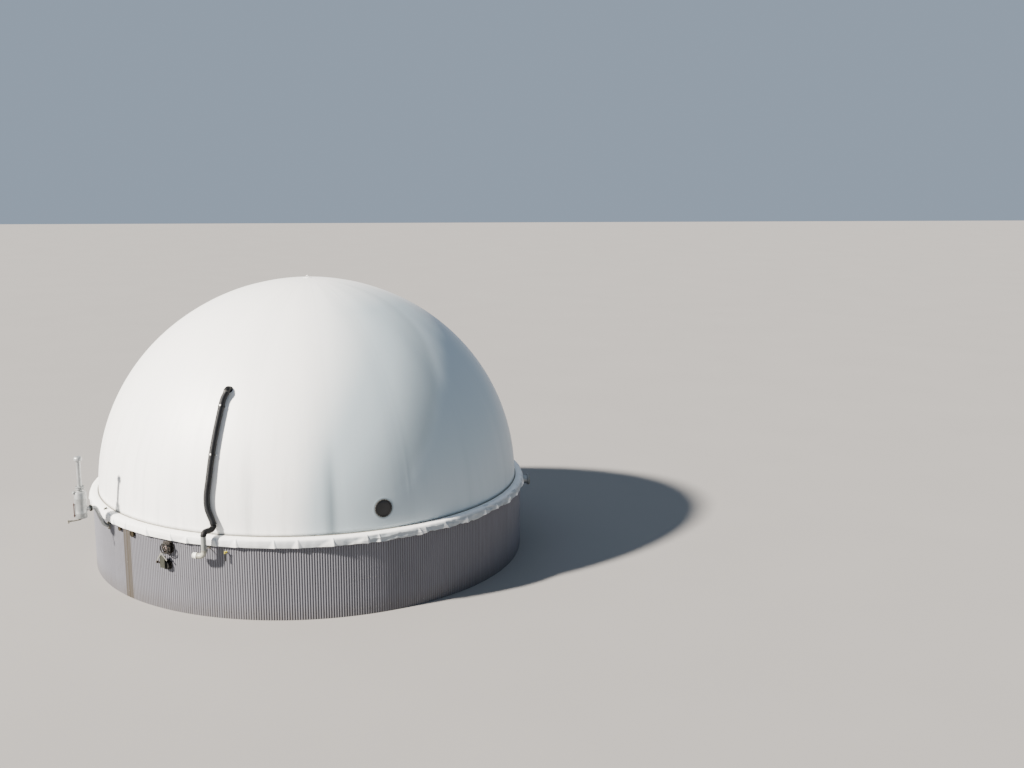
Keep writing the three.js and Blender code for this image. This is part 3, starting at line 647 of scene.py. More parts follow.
def makeCladding(side, index, random):
    c = cladding
    waves = c["wavesPerQuarter"]
    wave = np.arange(waves * c["stepsPerWave"] + 1) / c["stepsPerWave"]
    azimuth = quarterStart(index) + wave / waves * 90
    # the radius swings with the cosine of the wave, from the crests inwards by the depth
    groove = 0.5 - 0.5 * np.cos(2 * np.pi * wave)
    crest = tank["claddingOuter"] - c["clear"] - c["depth"] * groove
    heights = np.array(c["heights"])
    outer = around(azimuth[:, None], crest[:, None], heights[None])
    inner = around(azimuth[:, None], c["innerRadius"], heights[None, [-1, 0]])
    points = np.concatenate([outer, inner], 1)
    rows, columns = points.shape[:2]
    ends = [np.arange(columns)[None], np.arange(columns)[None, ::-1] + (rows - 1) * columns]
    tones = random.random(waves // c["wavesPerSheet"] + 2)
    s = c["stain"]
    stain = ramp(azimuth - s["from"], s["edges"][0]) * ramp(s["to"] - azimuth, s["edges"][1])
    stain = stain * (s["shares"][0] + s["shares"][1] * random.random(waves + 1)[wave.astype(int)])
    # the groove mark also carries painted shade into the grooves
    marks = {"sheet": tones[(wave // c["wavesPerSheet"]).astype(int)], "stain": stain, "groove": groove}
    marks = {key: np.repeat(values, columns) for key, values in marks.items()}
    shape = points.reshape(-1, 3), [gridFaces(rows, columns, False, True), *ends]
    addPiece(f"corrugated_cladding_{side}", shape, "sheet", [f"wall_cladding_{side}"], marks, sharpAngle=50)
    # self-drilling screws in the crests
    crests = np.arange(c["screwEvery"], waves, c["screwEvery"])
    azimuth, height = np.meshgrid(index * 90 - 45 + crests / waves * 90, c["screwHeights"])
    azimuth, height = azimuth.ravel(), height.ravel()
    right = around(azimuth + 90, 1, 0)
    axes = np.stack([right, np.broadcast_to(up, right.shape), around(azimuth, 1, 0)], 1)
    screws = boltsAt(around(azimuth, tank["claddingOuter"] - 0.001, height), axes, c["screwSize"])
    addPiece(f"cladding_screws_{side}", screws, "zinc")


random = np.random.default_rng(76)
for index, side in enumerate(sides):
    makeCladding(side, index, random)
print("cladding made")


# Rail that clamps the membrane's foot: flat bars end to end

rail = {"width": 0.034, "height": 0.0235, "corner": 0.004, "lengths": 12, "joint": 0.08, "steps": 25}


def makeRail():
    r = rail
    barAngle = 360 / r["lengths"]
    steps = np.linspace(r["joint"], barAngle - r["joint"], r["steps"])
    starts = np.arange(r["lengths"]) * barAngle
    outline = roundedRectangle(r["width"], r["height"], r["corner"], 3)
    radius = tank["domeRadius"] + 0.0006 + r["width"] / 2
    middle = tank["domeFoot"] + 0.001 + r["height"] / 2
    bars = [sweep(outline, around(start + steps, radius, middle), up) for start in starts]
    addPiece("clamp_rail", joined(*bars), "galvanised", ["membrane_clamp_rail"])


makeRail()


# Apron: four lengths of fabric from the rail over the wall's crown. A flat strip lies on the crown,
# and a skirt falls from it to the edge. Pleats start at the crease between them and widen downwards,
# shallow towards the left and steep towards the right, and fine crumples run over them.

apron = {
    "line": ((0.0, 0.0105), (0.06, 0.012), (0.12, 0.008), (0.175, -0.005), (0.212, -0.026), (0.236, -0.064),
             (0.252, -0.12), (0.257, -0.185), (0.254, -0.25)),  # out from the rail and up from the crown
    "lineStep": 0.01,
    "rows": 26,
    "columns": 860,
    "span": (0.004, 89.996),  # degrees of its quarter
    "crease": 0.4,  # the share of the way down where the flat strip ends
    "skirt": 0.2,  # the share over which it turns into the skirt
    "taper": 0.25,  # pleats and crumples die out over this length at both ends
    "thickness": 0.003,
    "pleatSpacing": 0.75,
    # the front's pleats as they hang: azimuth of the ridge at the hem, reach to its left and right, depth
    "frontPleats": ((-17.6, 0.25, 0.08, 0.8), (-8.9, 0.2, 0.07, 0.7), (-3.6, 0.22, 0.12, 0.9),
                    (4.4, 0.53, 0.05, 1.0), (12.2, 0.66, 0.08, 1.0), (15.1, 0.15, 0.05, 0.7)),
    "pleatDepth": 0.055,
    "crumpleDepth": 0.022,
    "crumpledFrom": (0.0, 40.0),  # azimuths between which the crumples grow to their full depth
    "edgeWave": 0.04,
    "slackWave": 0.012,
    "waves": ((2.1, 0.4, 1.6), (5.3, 1.9, 2.2), (11.0, 0.2, 3.0), (23.0, 1.1, 4.0)),  # rate, phase, divisor
    "pushLimits": (-0.03, 0.045),
    "liftLimit": -0.006,
    "drop": 0.27,  # no point hangs lower than this under the crown
    "shadedFrom": (-45.0, 50.0),  # azimuth and width
    "hem": 0.96,  # the share of the way down where the hem begins to darken
    "cut": (0.45, 11.7),
}


def pleats(length, fall, random, known=()):
    # the deepest of many leaning triangles: depth falls off evenly to each side, and grows with the
    # share of the way down, fall
    a = apron
    count = int(length.max() / a["pleatSpacing"])
    centre = (np.arange(count) + random.uniform(0.1, 0.9, count)) * a["pleatSpacing"]
    lean = random.normal(0.05, 0.12, count)
    left, right, size, start = (random.uniform(*ends, count)
                                for ends in ((0.16, 0.42), (0.05, 0.13), (0.3, 1.0), (0.0, 0.3)))
    rows = np.stack([centre, lean, left, right, size, a["crease"] + start], 1)
    if known:
        ridge, left, right, size = np.array(known).T
        centre, none = np.radians(ridge + 45) * tank["claddingOuter"] - 0.03, 0 * ridge
        rows = rows[(rows[:, 0] < centre.min() - 0.3) | (rows[:, 0] > centre.max() + 0.3)]
        asHung = np.stack([centre, none + 0.05, left, right, size, none + a["crease"]], 1)
        rows = np.concatenate([rows, asHung])
    total = np.zeros(np.broadcast_shapes(length.shape, fall.shape))
    for centre, lean, left, right, size, start in rows:
        grown = ramp(fall - start, 1 - start)
        away = (length - centre - lean * (fall - start)) / (0.15 + 0.85 * grown)
        depth = np.clip(1 - np.where(away < 0, -away / left, away / right), 0, 1)
        total = np.maximum(total, size * grown**0.8 * depth)
    return total


def crumples(length, fall, random):
    # sharp ridges where slow waves that run in many directions cross zero together
    total = np.zeros(np.broadcast_shapes(length.shape, fall.shape))
    for scale, weight in ((1.0, 0.6), (2.3, 0.3), (4.7, 0.15)):
        wave = 0
        for turn in random.uniform(-0.9, 0.9, 5):
            phase = random.uniform(0, 2 * np.pi)
            wave = wave + np.sin(scale * (9.0 * length * np.sin(turn) + 11.44 * fall * np.cos(turn)) + phase)
        total = total + weight * (1 - np.abs(wave) / 1.6)
    return np.clip(total, -1, 1)


def makeApron(side, index, random):
    a = apron
    profile, _ = smoothPath(np.insert(np.array(a["line"]), 1, 0, axis=1), a["lineStep"])
    t = np.linspace(0, len(profile) - 1, a["rows"])
    out, rise = (np.interp(t, np.arange(len(profile)), profile[:, k]) for k in (0, 2))
    fall = np.linspace(0, 1, a["rows"])[None]
    azimuth = quarterStart(index) + np.linspace(*a["span"], a["columns"])[:, None]
    length = np.radians(azimuth - azimuth[0]) * tank["claddingOuter"]
    taper = ramp(np.minimum(length, length.max() - length), a["taper"])
    pleat = pleats(length, fall, random, a["frontPleats"] if side == "front" else ()) * taper
    begin, full = a["crumpledFrom"]
    strength = 0.2 + 0.8 * ramp(azimuth - begin, full - begin)
    crumple = crumples(length, fall, random) * taper * strength * ramp(fall, a["crease"])
    wave = sum(np.sin(length * rate + phase) / divisor for rate, phase, divisor in a["waves"])
    ripple = a["edgeWave"] * (wave + 0.6) * fall**3 * taper * strength
    steep = ramp(fall - a["crease"], a["skirt"])  # the skirt moves out, the flat strip moves up
    push = a["pleatDepth"] * pleat * (0.55 + 0.45 * strength) + a["crumpleDepth"] * crumple * steep
    push = push + a["slackWave"] * wave * fall * taper
    lift = a["crumpleDepth"] * 0.5 * crumple * (1 - steep) + 0.35 * a["pleatDepth"] * pleat * (1 - fall)
    radius = tank["railOuter"] + 0.0008 + out[None] + np.clip(push, *a["pushLimits"])
    z = tank["wallHeight"] + rise[None] + np.maximum(lift, a["liftLimit"]) + ripple
    points = around(azimuth, radius, np.maximum(z, tank["wallHeight"] - a["drop"]))
    # painted shade with some dirt: in the skirt between the pleats, more towards the shaded side, on
    # the side of a pleat away from the sun and in the crumples; and darker along the hem
    flank = ramp(-np.gradient(pleat, length.ravel(), axis=0), 5)
    shaded = ramp(azimuth - a["shadedFrom"][0], a["shadedFrom"][1])
    crease = steep * (0.05 + 0.95 * shaded * (1 - np.clip(3 * pleat, 0, 0.95)))
    crease = crease + 0.6 * flank + 0.8 * ramp(-crumple) * strength
    crease = crease + ramp(fall - a["hem"]) * 5.0
    shape = (points.reshape(-1, 3), [gridFaces(a["columns"], a["rows"])])
    marks = {"crease": ramp(crease).ravel()}
    piece = addPiece(f"apron_{side}", shape, "apron", [f"weather_apron_{side}"], marks, sharpAngle=60)
    thicken(piece, a["thickness"], 0)


for index, side in enumerate(sides):
    makeApron(side, index, random)
print("rail and apron made")


# Sight glass: a clamping ring round a rubber seal, bolts and the glass

porthole = {
    "glass": ((0.2317, -0.004), (0.2317, 0.004), (0.2, 0.007), (0.1, 0.0085), (0, 0.009)),
    "sealInner": 0.2325,
    "sealOuter": 0.2468,
    "ringOuter": 0.272,
    "bolts": 20,
    "boltOrbit": 0.26,
    "boltSize": 0.011,
    # a doubler of the same fabric, welded on round the ring: radius, height over the roof, and how
    # dark it is, darkest against the ring
    "doubler": ((0.2735, 0.0028, 0.85), (0.3, 0.0028, 0.6), (0.326, 0.0028, 0.12), (0.334, 0.001, 0.12),
                (0.334, -0.004, 0.12), (0.2735, -0.004, 0.85)),
    "doublerPaintedShade": 0.9,
    "columns": 96,
}


def makePorthole():
    p = porthole
    n = p["columns"]
    place = onRoof(*membrane["porthole"])
    flange = ring(p["sealOuter"] + 0.0002, p["ringOuter"], -0.014, 0.014, 0.004, n)
    addPiece("sight_glass_ring", placed(flange, place), "ringPaint", ["porthole_ring"])
    seal = ring(p["sealInner"], p["sealOuter"], -0.06, 0.028, 0.003, n)
    addPiece("sight_glass_seal", placed(seal, place), "rubber")
    pane = turned(p["glass"], n)
    addPiece("sight_glass_pane", placed(pane, place), "glass", ["porthole_glass"], sharpAngle=60)
    radii, lift, dirt = np.array(p["doubler"]).T
    away = radii**2 / (2 * tank["domeRadius"])  # the roof falls away with the square of the distance
    doubler = hoop(np.stack([radii, lift - away], 1), n)
    # the doubler takes the roof's painted shade in full
    addPiece("sight_glass_doubler", placed(doubler, place), "membrane",
             attributes={"grime": np.full(n * len(dirt), p["doublerPaintedShade"]), "streak": np.repeat(dirt, n)})
    addPiece("sight_glass_bolts", bolts(p["bolts"], p["boltOrbit"], p["boltSize"], place, 0.0135), "zinc")


makePorthole()
print("sight glass made")


# Support-air line: elbow, ribbed hose, foot bend, clamps, straps, riser, elbow, socket and bracket

airLine = {
    "radius": 0.0945,
    "offset": 0.106,
    "ribPitch": 0.04,  # drawn coarser than the real spiral's 25 mm, to show
    "ribDepth": 0.005,
    "cuff": (0.07, 0.02),  # the plain length at each end, and the length over which ribs set in
    "inlet": (-24.6, 4.07),
    "inletBend": 0.118,
    "collar": ((0.112, -0.008), (0.112, 0.016), (0.108, 0.024), (0.1, 0.029), (0.096, 0.03)),
    "route": ((-25.15, 3.75), (-25.1, 3.35), (-25.15, 2.8), (-25.25, 2.2), (-25.35, 1.65), (-25.6, 1.15),
              (-25.35, 0.82), (-24.7, 0.61), (-24.1, 0.46)),  # azimuth and height
    "clampWidth": 0.012,
    "strapHeights": {"upper": 3.64, "lower": 2.33},
    "tab": ((0.07, 0.0), (0.02, 0.001), (0.003, 0.012), (0.003, 0.04)),  # out from the strap, and up
    "footAzimuth": -23.7,
    "footStart": 0.33,
    "footBend": 0.115,
    "footRadius": 0.0875,
    "riserAzimuth": -24.65,
    "riserOrbit": 7.6,
    "riserRadius": 0.08,
    "riserBottom": -0.358,
    "elbowBend": 0.15,
    "elbowEnd": (0.03, 0.055, 0.08),
    "elbowLip": (0.005, *[0.0] * 15, 0.004, 0.004),
    "socket": ((0.085, 0), (0.09, 0.003), (0.09, 0.03), (0.087, 0.034), (0.087, 0.095), (0.0895, 0.099),
               (0.0895, 0.119), (0.085, 0.1247), (0.0, 0.1247)),
}


def bandClamp(radius, place):
    # a worm-drive band: a flat ring with its screw housing across it
    width = airLine["clampWidth"]
    band = ring(radius, radius + 0.0022, -width / 2, width / 2, 0.0008)
    housing = moved(laid(block(0.03, width * 1.3, 0.0, 0.014, 0.003)), 0, radius)
    return placed(joined(band, housing), place)


def makeAirLine():
    a = airLine
    inletPlace = onRoof(*a["inlet"])
    sideways, upwards, outwards = inletPlace[1]
    heading = -upwards
    local = quarterBend(np.array([0, 0, 0.012]), up, np.array([0, -1.0, 0]), a["inletBend"])
    inletPath = toWorld(local, inletPlace)
    elbow = sweep(circle(40), inletPath, sideways, a["radius"] + 0.0005)
    collar = placed(turned(a["collar"], 48), inletPlace)
    end = [[0, local[-1][1] + back, local[-1][2]] for back in (0.03, 0.0004)]
    bead = sweep(circle(40), toWorld(end, inletPlace), sideways, a["radius"] + 0.004)
    addPiece("hose_elbow", joined(elbow, collar, bead), "rubber", ["hose_inlet_elbow"])

    footTop = around(a["footAzimuth"], tank["domeRadius"] + a["offset"], tank["domeFoot"] + a["footStart"])
    route = [inletPath[-1] + 0.0003 * heading, inletPath[-1] + 0.06 * heading]
    route += [onDome(azimuth, height, a["offset"]) for azimuth, height in a["route"]]
    path, along = smoothPath([*route, footTop], a["ribPitch"] / 6)
    # the radius swings with the cosine of the length along the hose, and is plain in the cuffs
    ribs = 0.5 - 0.5 * np.cos(2 * np.pi * along / a["ribPitch"])
    plain, setIn = a["cuff"]
    cuffs = np.minimum(ramp(along - plain, setIn), ramp(along[-1] - along - plain, setIn))
    hose = sweep(circle(28), path, sideways, a["radius"] - a["ribDepth"] * ribs * cuffs)
    addPiece("air_hose", hose, "hose", ["support_air_hose"], sharpAngle=80)

    # the foot bend turns level over the apron, and down again onto the riser
    riserAxis = around(a["riserAzimuth"], a["riserOrbit"], footTop[2])
    over = unit(riserAxis - footTop)
    first = quarterBend(footTop + 0.0003 * down, down, over, a["footBend"])
    turnStart = riserAxis - a["footBend"] * over
    turnStart[2] = first[-1][2]
    second = quarterBend(turnStart, over, down, a["footBend"])
    bend = np.concatenate([first, np.linspace(first[-1], second[0], 6)[1:-1], second])
    bend = sweep(circle(40), bend, np.cross(over, down), a["footRadius"])
    addPiece("foot_bend", bend, "rubber", ["hose_foot_bend"])

    clampPlace = frameAt(route[0] + 0.035 * heading, heading, outwards + 0.75 * sideways)
    addPiece("hose_clamp", bandClamp(a["radius"] + 0.0008, clampPlace), "zinc")
    footClamps = [bandClamp(a["radius"] + 0.0008, frameAt(footTop - 0.04 * down, down, over)),
                  bandClamp(a["footRadius"] + 0.0008, frameAt(second[-1] - 0.03 * down, down, over))]
    addPiece("foot_bend_clamps", joined(*footClamps), "enamel")
    return path, second[-1]


hosePath, riserTop = makeAirLine()


def makeStraps(path):
    # each strap runs up one side of the hose, over it and down the other, to a fabric tab either side
    a = airLine
    radius, foot = a["radius"] + 0.0035, -a["offset"] + 0.003
    angle = np.linspace(0, np.pi, 25)
    over = np.stack([radius * np.cos(angle), radius * np.sin(angle)], -1)
    line = np.concatenate([[[radius, foot]], over, [[-radius, foot]]])
    buckles, tabs = [], []
    for name, height in a["strapHeights"].items():
        i = int(np.argmin(np.abs(path[:, 2] - tank["domeFoot"] - height)))
        centre, along = path[i], unit(path[i + 2] - path[i - 2])
        azimuth = np.degrees(np.arctan2(centre[0], -centre[1]))
        place = frameAt(centre, along, domeNormal(azimuth, height))
        for way in (-1, 1):
            tab = [[way * (radius + out), foot + rise, 0] for out, rise in a["tab"]]
            tabs.append(sweep(roundedRectangle(0.003, 0.038, 0.001, 3), toWorld(tab, place), place[1][2]))
        route = toWorld(np.insert(line, 2, 0, axis=1), place)
        webbing = sweep(roundedRectangle(0.004, 0.036, 0.0015, 3), route, place[1][2])
        addPiece(f"hose_strap_{name}_webbing", webbing, "rubber", [f"hose_strap_{name}"],
                 slotName="grey_pipe")
        spot = toWorld([radius * 0.05, radius, 0.0], place)
        buckle = block(0.045, 0.05, 0.0, 0.01, 0.003)
        buckles.append(placed(buckle, frameAt(spot, unit(spot - centre), along)))
    addPiece("strap_buckles", joined(*buckles), "whitePipe")
    addPiece("strap_tabs", joined(*tabs), "membrane")


makeStraps(hosePath)


def makeRiser(top):
    a = airLine
    outward, left = around(a["riserAzimuth"], 1, 0), -around(a["riserAzimuth"] + 90, 1, 0)
    end = around(a["riserAzimuth"], a["riserOrbit"], tank["wallHeight"] + a["riserBottom"])
    pipe = sweep(circle(48), [top + 0.0006 * down, end], outward, a["riserRadius"] - 0.0005)
    addPiece("riser", pipe, "greyPipe", ["riser_pipe"])
    bend = quarterBend(end + 0.0003 * down, down, left, a["elbowBend"], 14)
    bend = np.concatenate([bend, bend[-1] + left * np.array(a["elbowEnd"])[:, None]])
    elbow = sweep(circle(48), bend, outward, a["riserRadius"] + np.array(a["elbowLip"]))
    addPiece("riser_bend", elbow, "beigePipe", ["riser_elbow"])
    seal = ring(a["riserRadius"] + 0.0035, 0.0915, -0.012, 0.004, 0.0015)
    addPiece("socket_seal", placed(seal, frameAt(bend[-1], left)), "rubber")
    socket = placed(turned(a["socket"], 48), frameAt(bend[-1] + 0.0003 * left, left))
    addPiece("air_socket", socket, "whitePipe", ["riser_end_socket"])
    # bracket: a ring round the pipe, with an arm and a plate on the cladding
    height = end[2] + 0.028
    clip = placed(ring(a["riserRadius"] + 0.0006, a["riserRadius"] + 0.007, -0.015, 0.015, 0.001),
                  frameAt(around(a["riserAzimuth"], a["riserOrbit"], height), up, outward))
    reach = a["riserOrbit"] - tank["claddingOuter"]
    arm = block(0.022, 0.022, 0.004, reach - a["riserRadius"] - 0.004, 0.003)
    plate = block(0.09, 0.07, 0.0005, 0.008, 0.003)
    wallPlace = frameAt(around(a["riserAzimuth"], tank["claddingOuter"], height), outward)
    holder = joined(clip, placed(joined(arm, plate), wallPlace))
    addPiece("riser_holder", holder, "galvanised", ["riser_bracket"])


makeRiser(riserTop)
print("air line made")


# Pressure relief device: a stainless body with a water seal, its vent pipe and its way in. In its
# frame Z is up and Y points at the tank.

relief = {
    "azimuth": -59.7,
    "orbit": 8.14,
    "body": ((0.0, -0.027), (0.15, -0.027), (0.156, -0.022), (0.177, -0.004), (0.18, 0.006), (0.18, 0.14),
             (0.1815, 0.144), (0.1815, 0.15), (0.18, 0.154), (0.18, 0.60), (0.1815, 0.604), (0.1815, 0.61),
             (0.18, 0.614), (0.18, 0.782), (0.175, 0.793), (0.09, 0.836), (0.08, 0.846), (0.08, 0.8855),
             (0.0, 0.8855)),
    "collar": ((0.132, 0.8865, 0.914), (0.1, 0.914, 0.943), (0.132, 0.943, 0.9705)),  # radius, low and high
    "collarBolts": (8, 0.116, 0.017),  # count, orbit and size
    "ventRadius": 0.0675,
    "ventFoot": 0.9715,
    "ventTop": 1.7895,
    "cap": ((0.0, 1.7905), (0.12, 1.7905), (0.1245, 1.795), (0.1245, 1.866), (0.12, 1.878), (0.088, 1.911),
            (0.07, 1.9165), (0.0, 1.9165)),
    "spout": {"radius": 0.045, "height": 0.71, "reach": 0.245, "tilt": 25},
    "levelTube": {"radius": 0.0155, "offset": 0.215, "low": 0.03, "high": 0.47, "arms": (0.08, 0.42)},
    "cock": ((0.02, -0.017), (0.023, -0.013), (0.023, 0.013), (0.02, 0.017)),
    "drain": {"radius": 0.0215, "height": -0.078, "reach": 0.41, "start": -0.028},
    "tee": ((0.024, -0.05), (0.03, -0.047), (0.03, 0.047), (0.024, 0.05)),
    "inletRadius": 0.061,
    "inletRoute": ((7.9595, 0.23), (7.9, 0.23), (7.72, 0.218), (7.655, 0.12), (7.59, -0.06), (7.52, -0.225),
                   (7.465, -0.345), (7.385, -0.418), (7.333, -0.432)),  # distance from the axis and height
    "weld": {"pitch": 0.15, "width": 0.006, "rise": 0.0015},  # beads between the bend's gores
    "joint": {"inward": 0.295, "radius": 0.098, "thickness": 0.05, "height": 0.23, "gap": 0.003,
              "step": 0.006},
    "wallFlange": {"height": -0.435, "radius": 0.125, "thickness": 0.0315, "bolts": (8, 0.1, 0.019)},
}


def levelDisc(radius, height, start, end, columns=32):
    # a level cylinder outwards of the relief device's axis, with its edges taken off
    return moved(laid(disc(radius, start, end, 0.0015, columns), -1), 0, 0, height)


def makeRelief():
    r = relief
    place = frameAt(around(r["azimuth"], r["orbit"], tank["domeFoot"]), up, around(r["azimuth"], -1, 0))
    s = r["spout"]
    tilt = np.radians(s["tilt"])
    spout = turned([(s["radius"] - 0.002, 0.0), (s["radius"] - 0.002, s["reach"] - 0.014),
                    (s["radius"], s["reach"] - 0.012), (s["radius"], s["reach"] - 0.001),
                    (s["radius"] - 0.004, s["reach"])], 32)
    spout = placed(spout, frameAt((0, 0, s["height"]), (0, -np.cos(tilt), np.sin(tilt))))
    body = joined(turned(r["body"], 64), spout)
    collar = joined(*(disc(radius, low, high, 0.002, 64) for radius, low, high in r["collar"]))
    v, top = r["ventRadius"], r["ventTop"]
    vent = turned([(0.0, r["ventFoot"]), (v, r["ventFoot"]), (v, top - 0.012), (v + 0.003, top - 0.01),
                   (v + 0.003, top - 0.002), (0, top)], 48)
    addPiece("relief_body", placed(body, place), "stainless", ["relief_valve_body"])
    addPiece("relief_collar", placed(collar, place), "stainless", ["relief_valve_collar"])
    addPiece("relief_collar_bolts", bolts(*r["collarBolts"], place, r["collar"][-1][-1]), "zinc")
    addPiece("relief_vent", placed(vent, place), "stainless", ["relief_vent_pipe"])
    addPiece("relief_cap", placed(turned(r["cap"], 64), place), "stainless", ["relief_vent_cap"])

    # way in: a pipe from the body's side, bent down past the apron to the flange on the wall
    route = [around(r["azimuth"], radius, tank["domeFoot"] + height) for radius, height in r["inletRoute"]]
    path, along = smoothPath(route, 0.012)
    w = r["weld"]
    toWeld = np.abs((along / w["pitch"]) % 1 - 0.5) * w["pitch"]
    bulge = w["rise"] * np.exp(-(toWeld / w["width"]) ** 2)
    tube = sweep(circle(40), path, around(r["azimuth"] + 90, 1, 0), r["inletRadius"] + bulge)
    addPiece("relief_way_in", tube, "stainless", ["relief_inlet_pipe"], slotName="galvanised_steel")
    j = r["joint"]
    half, gap = j["thickness"] / 2, j["gap"]
    parts = ((0, -half, -gap), (j["step"], -gap, gap), (0, gap, half))
    joint = joined(*(levelDisc(j["radius"] - less, j["height"], -j["inward"] + start, -j["inward"] + end)
                     for less, start, end in parts))
    addPiece("relief_joint", placed(joint, place), "housing")
    f = r["wallFlange"]
    flangePlace = onWall(r["azimuth"], f["height"])
    plate = placed(disc(f["radius"], 0.0005, f["thickness"], 0.003, 64), flangePlace)
    addPiece("relief_flange_on_wall", plate, "galvanised", ["relief_wall_flange"])
    addPiece("relief_flange_bolts", bolts(*f["bolts"], flangePlace, f["thickness"]), "iron")

    # level tube on two arms with their cocks, and the drain with its tee and lever
    t = r["levelTube"]
    stand = [[0, -t["offset"], height] for height in (t["low"], t["high"])]
    pipes = [sweep(circle(16, t["radius"]), stand, (1, 0, 0))]
    for height in t["arms"]:
        pipes.append(levelDisc(0.0105, height, 0.181, t["offset"], 16))
        pipes.append(moved(turned(r["cock"], 16), 0, -t["offset"], height))
    addPiece("relief_gauge", placed(joined(*pipes), place), "redIron", ["relief_level_tube"])
    d = r["drain"]
    bend = quarterBend(np.array([0, 0, d["start"]]), down, np.array([0, -1.0, 0]), d["start"] - d["height"])
    line = np.concatenate([bend, [[0, -d["reach"], d["height"]]]])
    drain = joined(sweep(circle(20, d["radius"]), line, (1, 0, 0)),
                   moved(turned(r["tee"], 24), 0, -d["reach"], d["height"]))
    addPiece("relief_drain", placed(drain, place), "galvanised", ["relief_drain_pipe"])
    verts, faces = block(0.012, 0.09, -0.003, 0.003, 0.002)
    lever = moved((verts[:, ::-1], faces), 0, -0.33, d["height"] + 0.026)
    addPiece("relief_drain_lever", placed(lever, place), "iron")


makeRelief()
print("relief device made")


# Small fittings on the apron and the wall. Wall fittings are in frames with Z outwards.

fittings = {
    "apronCap": (-62.2, 7.26, -0.015),
    "apronCapForm": ((0.0, -0.01), (0.052, -0.01), (0.052, 0.035), (0.06, 0.038), (0.06, 0.05),
                     (0.054, 0.0545), (0.0, 0.0548)),
    "stubs": {"capped_stub_left": (-53.2, -0.335, 0.076, 0.07),
              "capped_stub_right": (-47.8, -0.355, 0.098, 0.075)},  # azimuth, height, radius and reach
    "upperValve": (-35.7, -0.49),
    "lugs": (-0.15, -0.05, 0.05, 0.15),
    "sleeve": ((0.084, 0.137), (0.084, 0.146), (0.062, 0.152), (0.06, 0.187), (0.054, 0.1895), (0, 0.1895)),
    "wheelReach": 0.204,
    "wheelRadius": 0.15,
    "spoke": ((0.02, 0.006), (0.07, 0.002), (0.11, -0.002), (0.148, 0.0)),  # out and up
    "boss": ((0.0, -0.0135), (0.033, -0.0135), (0.034, -0.01), (0.034, 0.01), (0.03, 0.0135), (0.0, 0.0135)),
    "lowerValve": (-36.1, -1.045),
    "lowerBody": ((0.0, 0.0005), (0.147, 0.0005), (0.15, 0.004), (0.15, 0.027), (0.147, 0.03), (0.09, 0.032),
                  (0.088, 0.06), (0.092, 0.08), (0.112, 0.095), (0.115, 0.1), (0.115, 0.1298), (0.0, 0.1298)),
    "spindle": ((0, 0), (0.037, 0), (0.04, 0.003), (0.04, 0.02), (0.018, 0.024), (0.018, 0.094),
                (0.04, 0.096), (0.044, 0.102), (0.044, 0.132), (0.038, 0.14), (0, 0.14)),
    "leverLine": ((-0.26, 0.142), (-0.09, 0.4), (0.115, 0.19)),
    "leverHeight": 0.1942,
    "gasTap": (-20.4, -0.43),
    "tap": ((0.03, 0.0005), (0.03, 0.007), (0.015, 0.009), (0.014, 0.06), (0.024, 0.062), (0.026, 0.066),
            (0.026, 0.108), (0.02, 0.1118), (0, 0.1118)),
    "drop": ((0.017, -0.25), (0.0197, -0.248), (0.0197, -0.05), (0.024, -0.046), (0.024, -0.03),
             (0.017, -0.0268)),
    "outlet": (-0.4, -0.46, 0.14, 0.33),  # Y, height, radius and reach
    "outletFlange": 0.055,  # its width round the pipe
    "crownPatch": ((0.15, -0.004), (0.15, 0.0), (0.14, 0.006), (0.05, 0.01), (0.03, 0.014), (0, 0.016)),
    "eye": {"radius": 0.032, "bar": 0.0085, "height": 0.046},
}


def makeStubs():
    f = fittings
    azimuth, radius, height = f["apronCap"]
    place = frameAt(around(azimuth, radius, tank["wallHeight"] + height), around(azimuth, 0.5, 0.85))
    addPiece("apron_cap", placed(turned(f["apronCapForm"], 32), place), "housing", ["apron_port_cap"])
    for name, (azimuth, height, radius, reach) in f["stubs"].items():
        profile = [(0, 0.0005), (radius - 0.014, 0.0005), (radius - 0.014, reach - 0.04),
                   (radius - 0.003, reach - 0.0395), (radius, reach - 0.036), (radius, reach - 0.006),
                   (radius - 0.01, reach), (radius - 0.03, reach - 0.001), (radius - 0.034, reach - 0.012),
                   (0, reach - 0.014)]
        addPiece(name + "_cap", placed(turned(profile, 40), onWall(azimuth, height)), "iron", [name])


def makeUpperValve():
    f = fittings
    place = onWall(*f["upperValve"])
    shapes = [disc(0.2, 0.0005, 0.0278, 0.003), turned([(0.1, 0.027), (0.094, 0.045), (0.1, 0.061)], 40),
              block(0.258, 0.398, 0.0605, 0.1135, 0.02), disc(0.16, 0.113, 0.1375, 0.003)]
    shapes += [moved(block(0.05, 0.012, 0.0605, 0.12, 0.003), 0, y) for y in f["lugs"]]
    addPiece("upper_valve", placed(joined(*shapes), place), "dustyIron", ["upper_slide_valve"])
    addPiece("upper_valve_sleeve", placed(turned(f["sleeve"], 32), place), "palePrimer")
    nuts = joined(bolts(8, 0.168, 0.024, place, 0.0275), bolts(8, 0.13, 0.022, place, 0.137))
    addPiece("upper_valve_bolts", nuts, "iron")
    rim = sweep(circle(14, 0.018), np.insert(circle(64, f["wheelRadius"]), 2, 0, axis=1), up, closed=True)
    spokes = []
    for turn in np.radians((90, 210, 330)):
        way = np.array([np.cos(turn), np.sin(turn), 0])
        bow = np.stack([way * out + [0, 0, z] for out, z in f["spoke"]])
        spokes.append(sweep(roundedRectangle(0.022, 0.012, 0.004, 3), bow, up))
    wheel = joined(rim, turned(f["boss"], 32), *spokes)
    hub = (place[0] + f["wheelReach"] * place[1][2], place[1])
    addPiece("upper_wheel", placed(wheel, hub), "enamel", ["upper_valve_handwheel"])


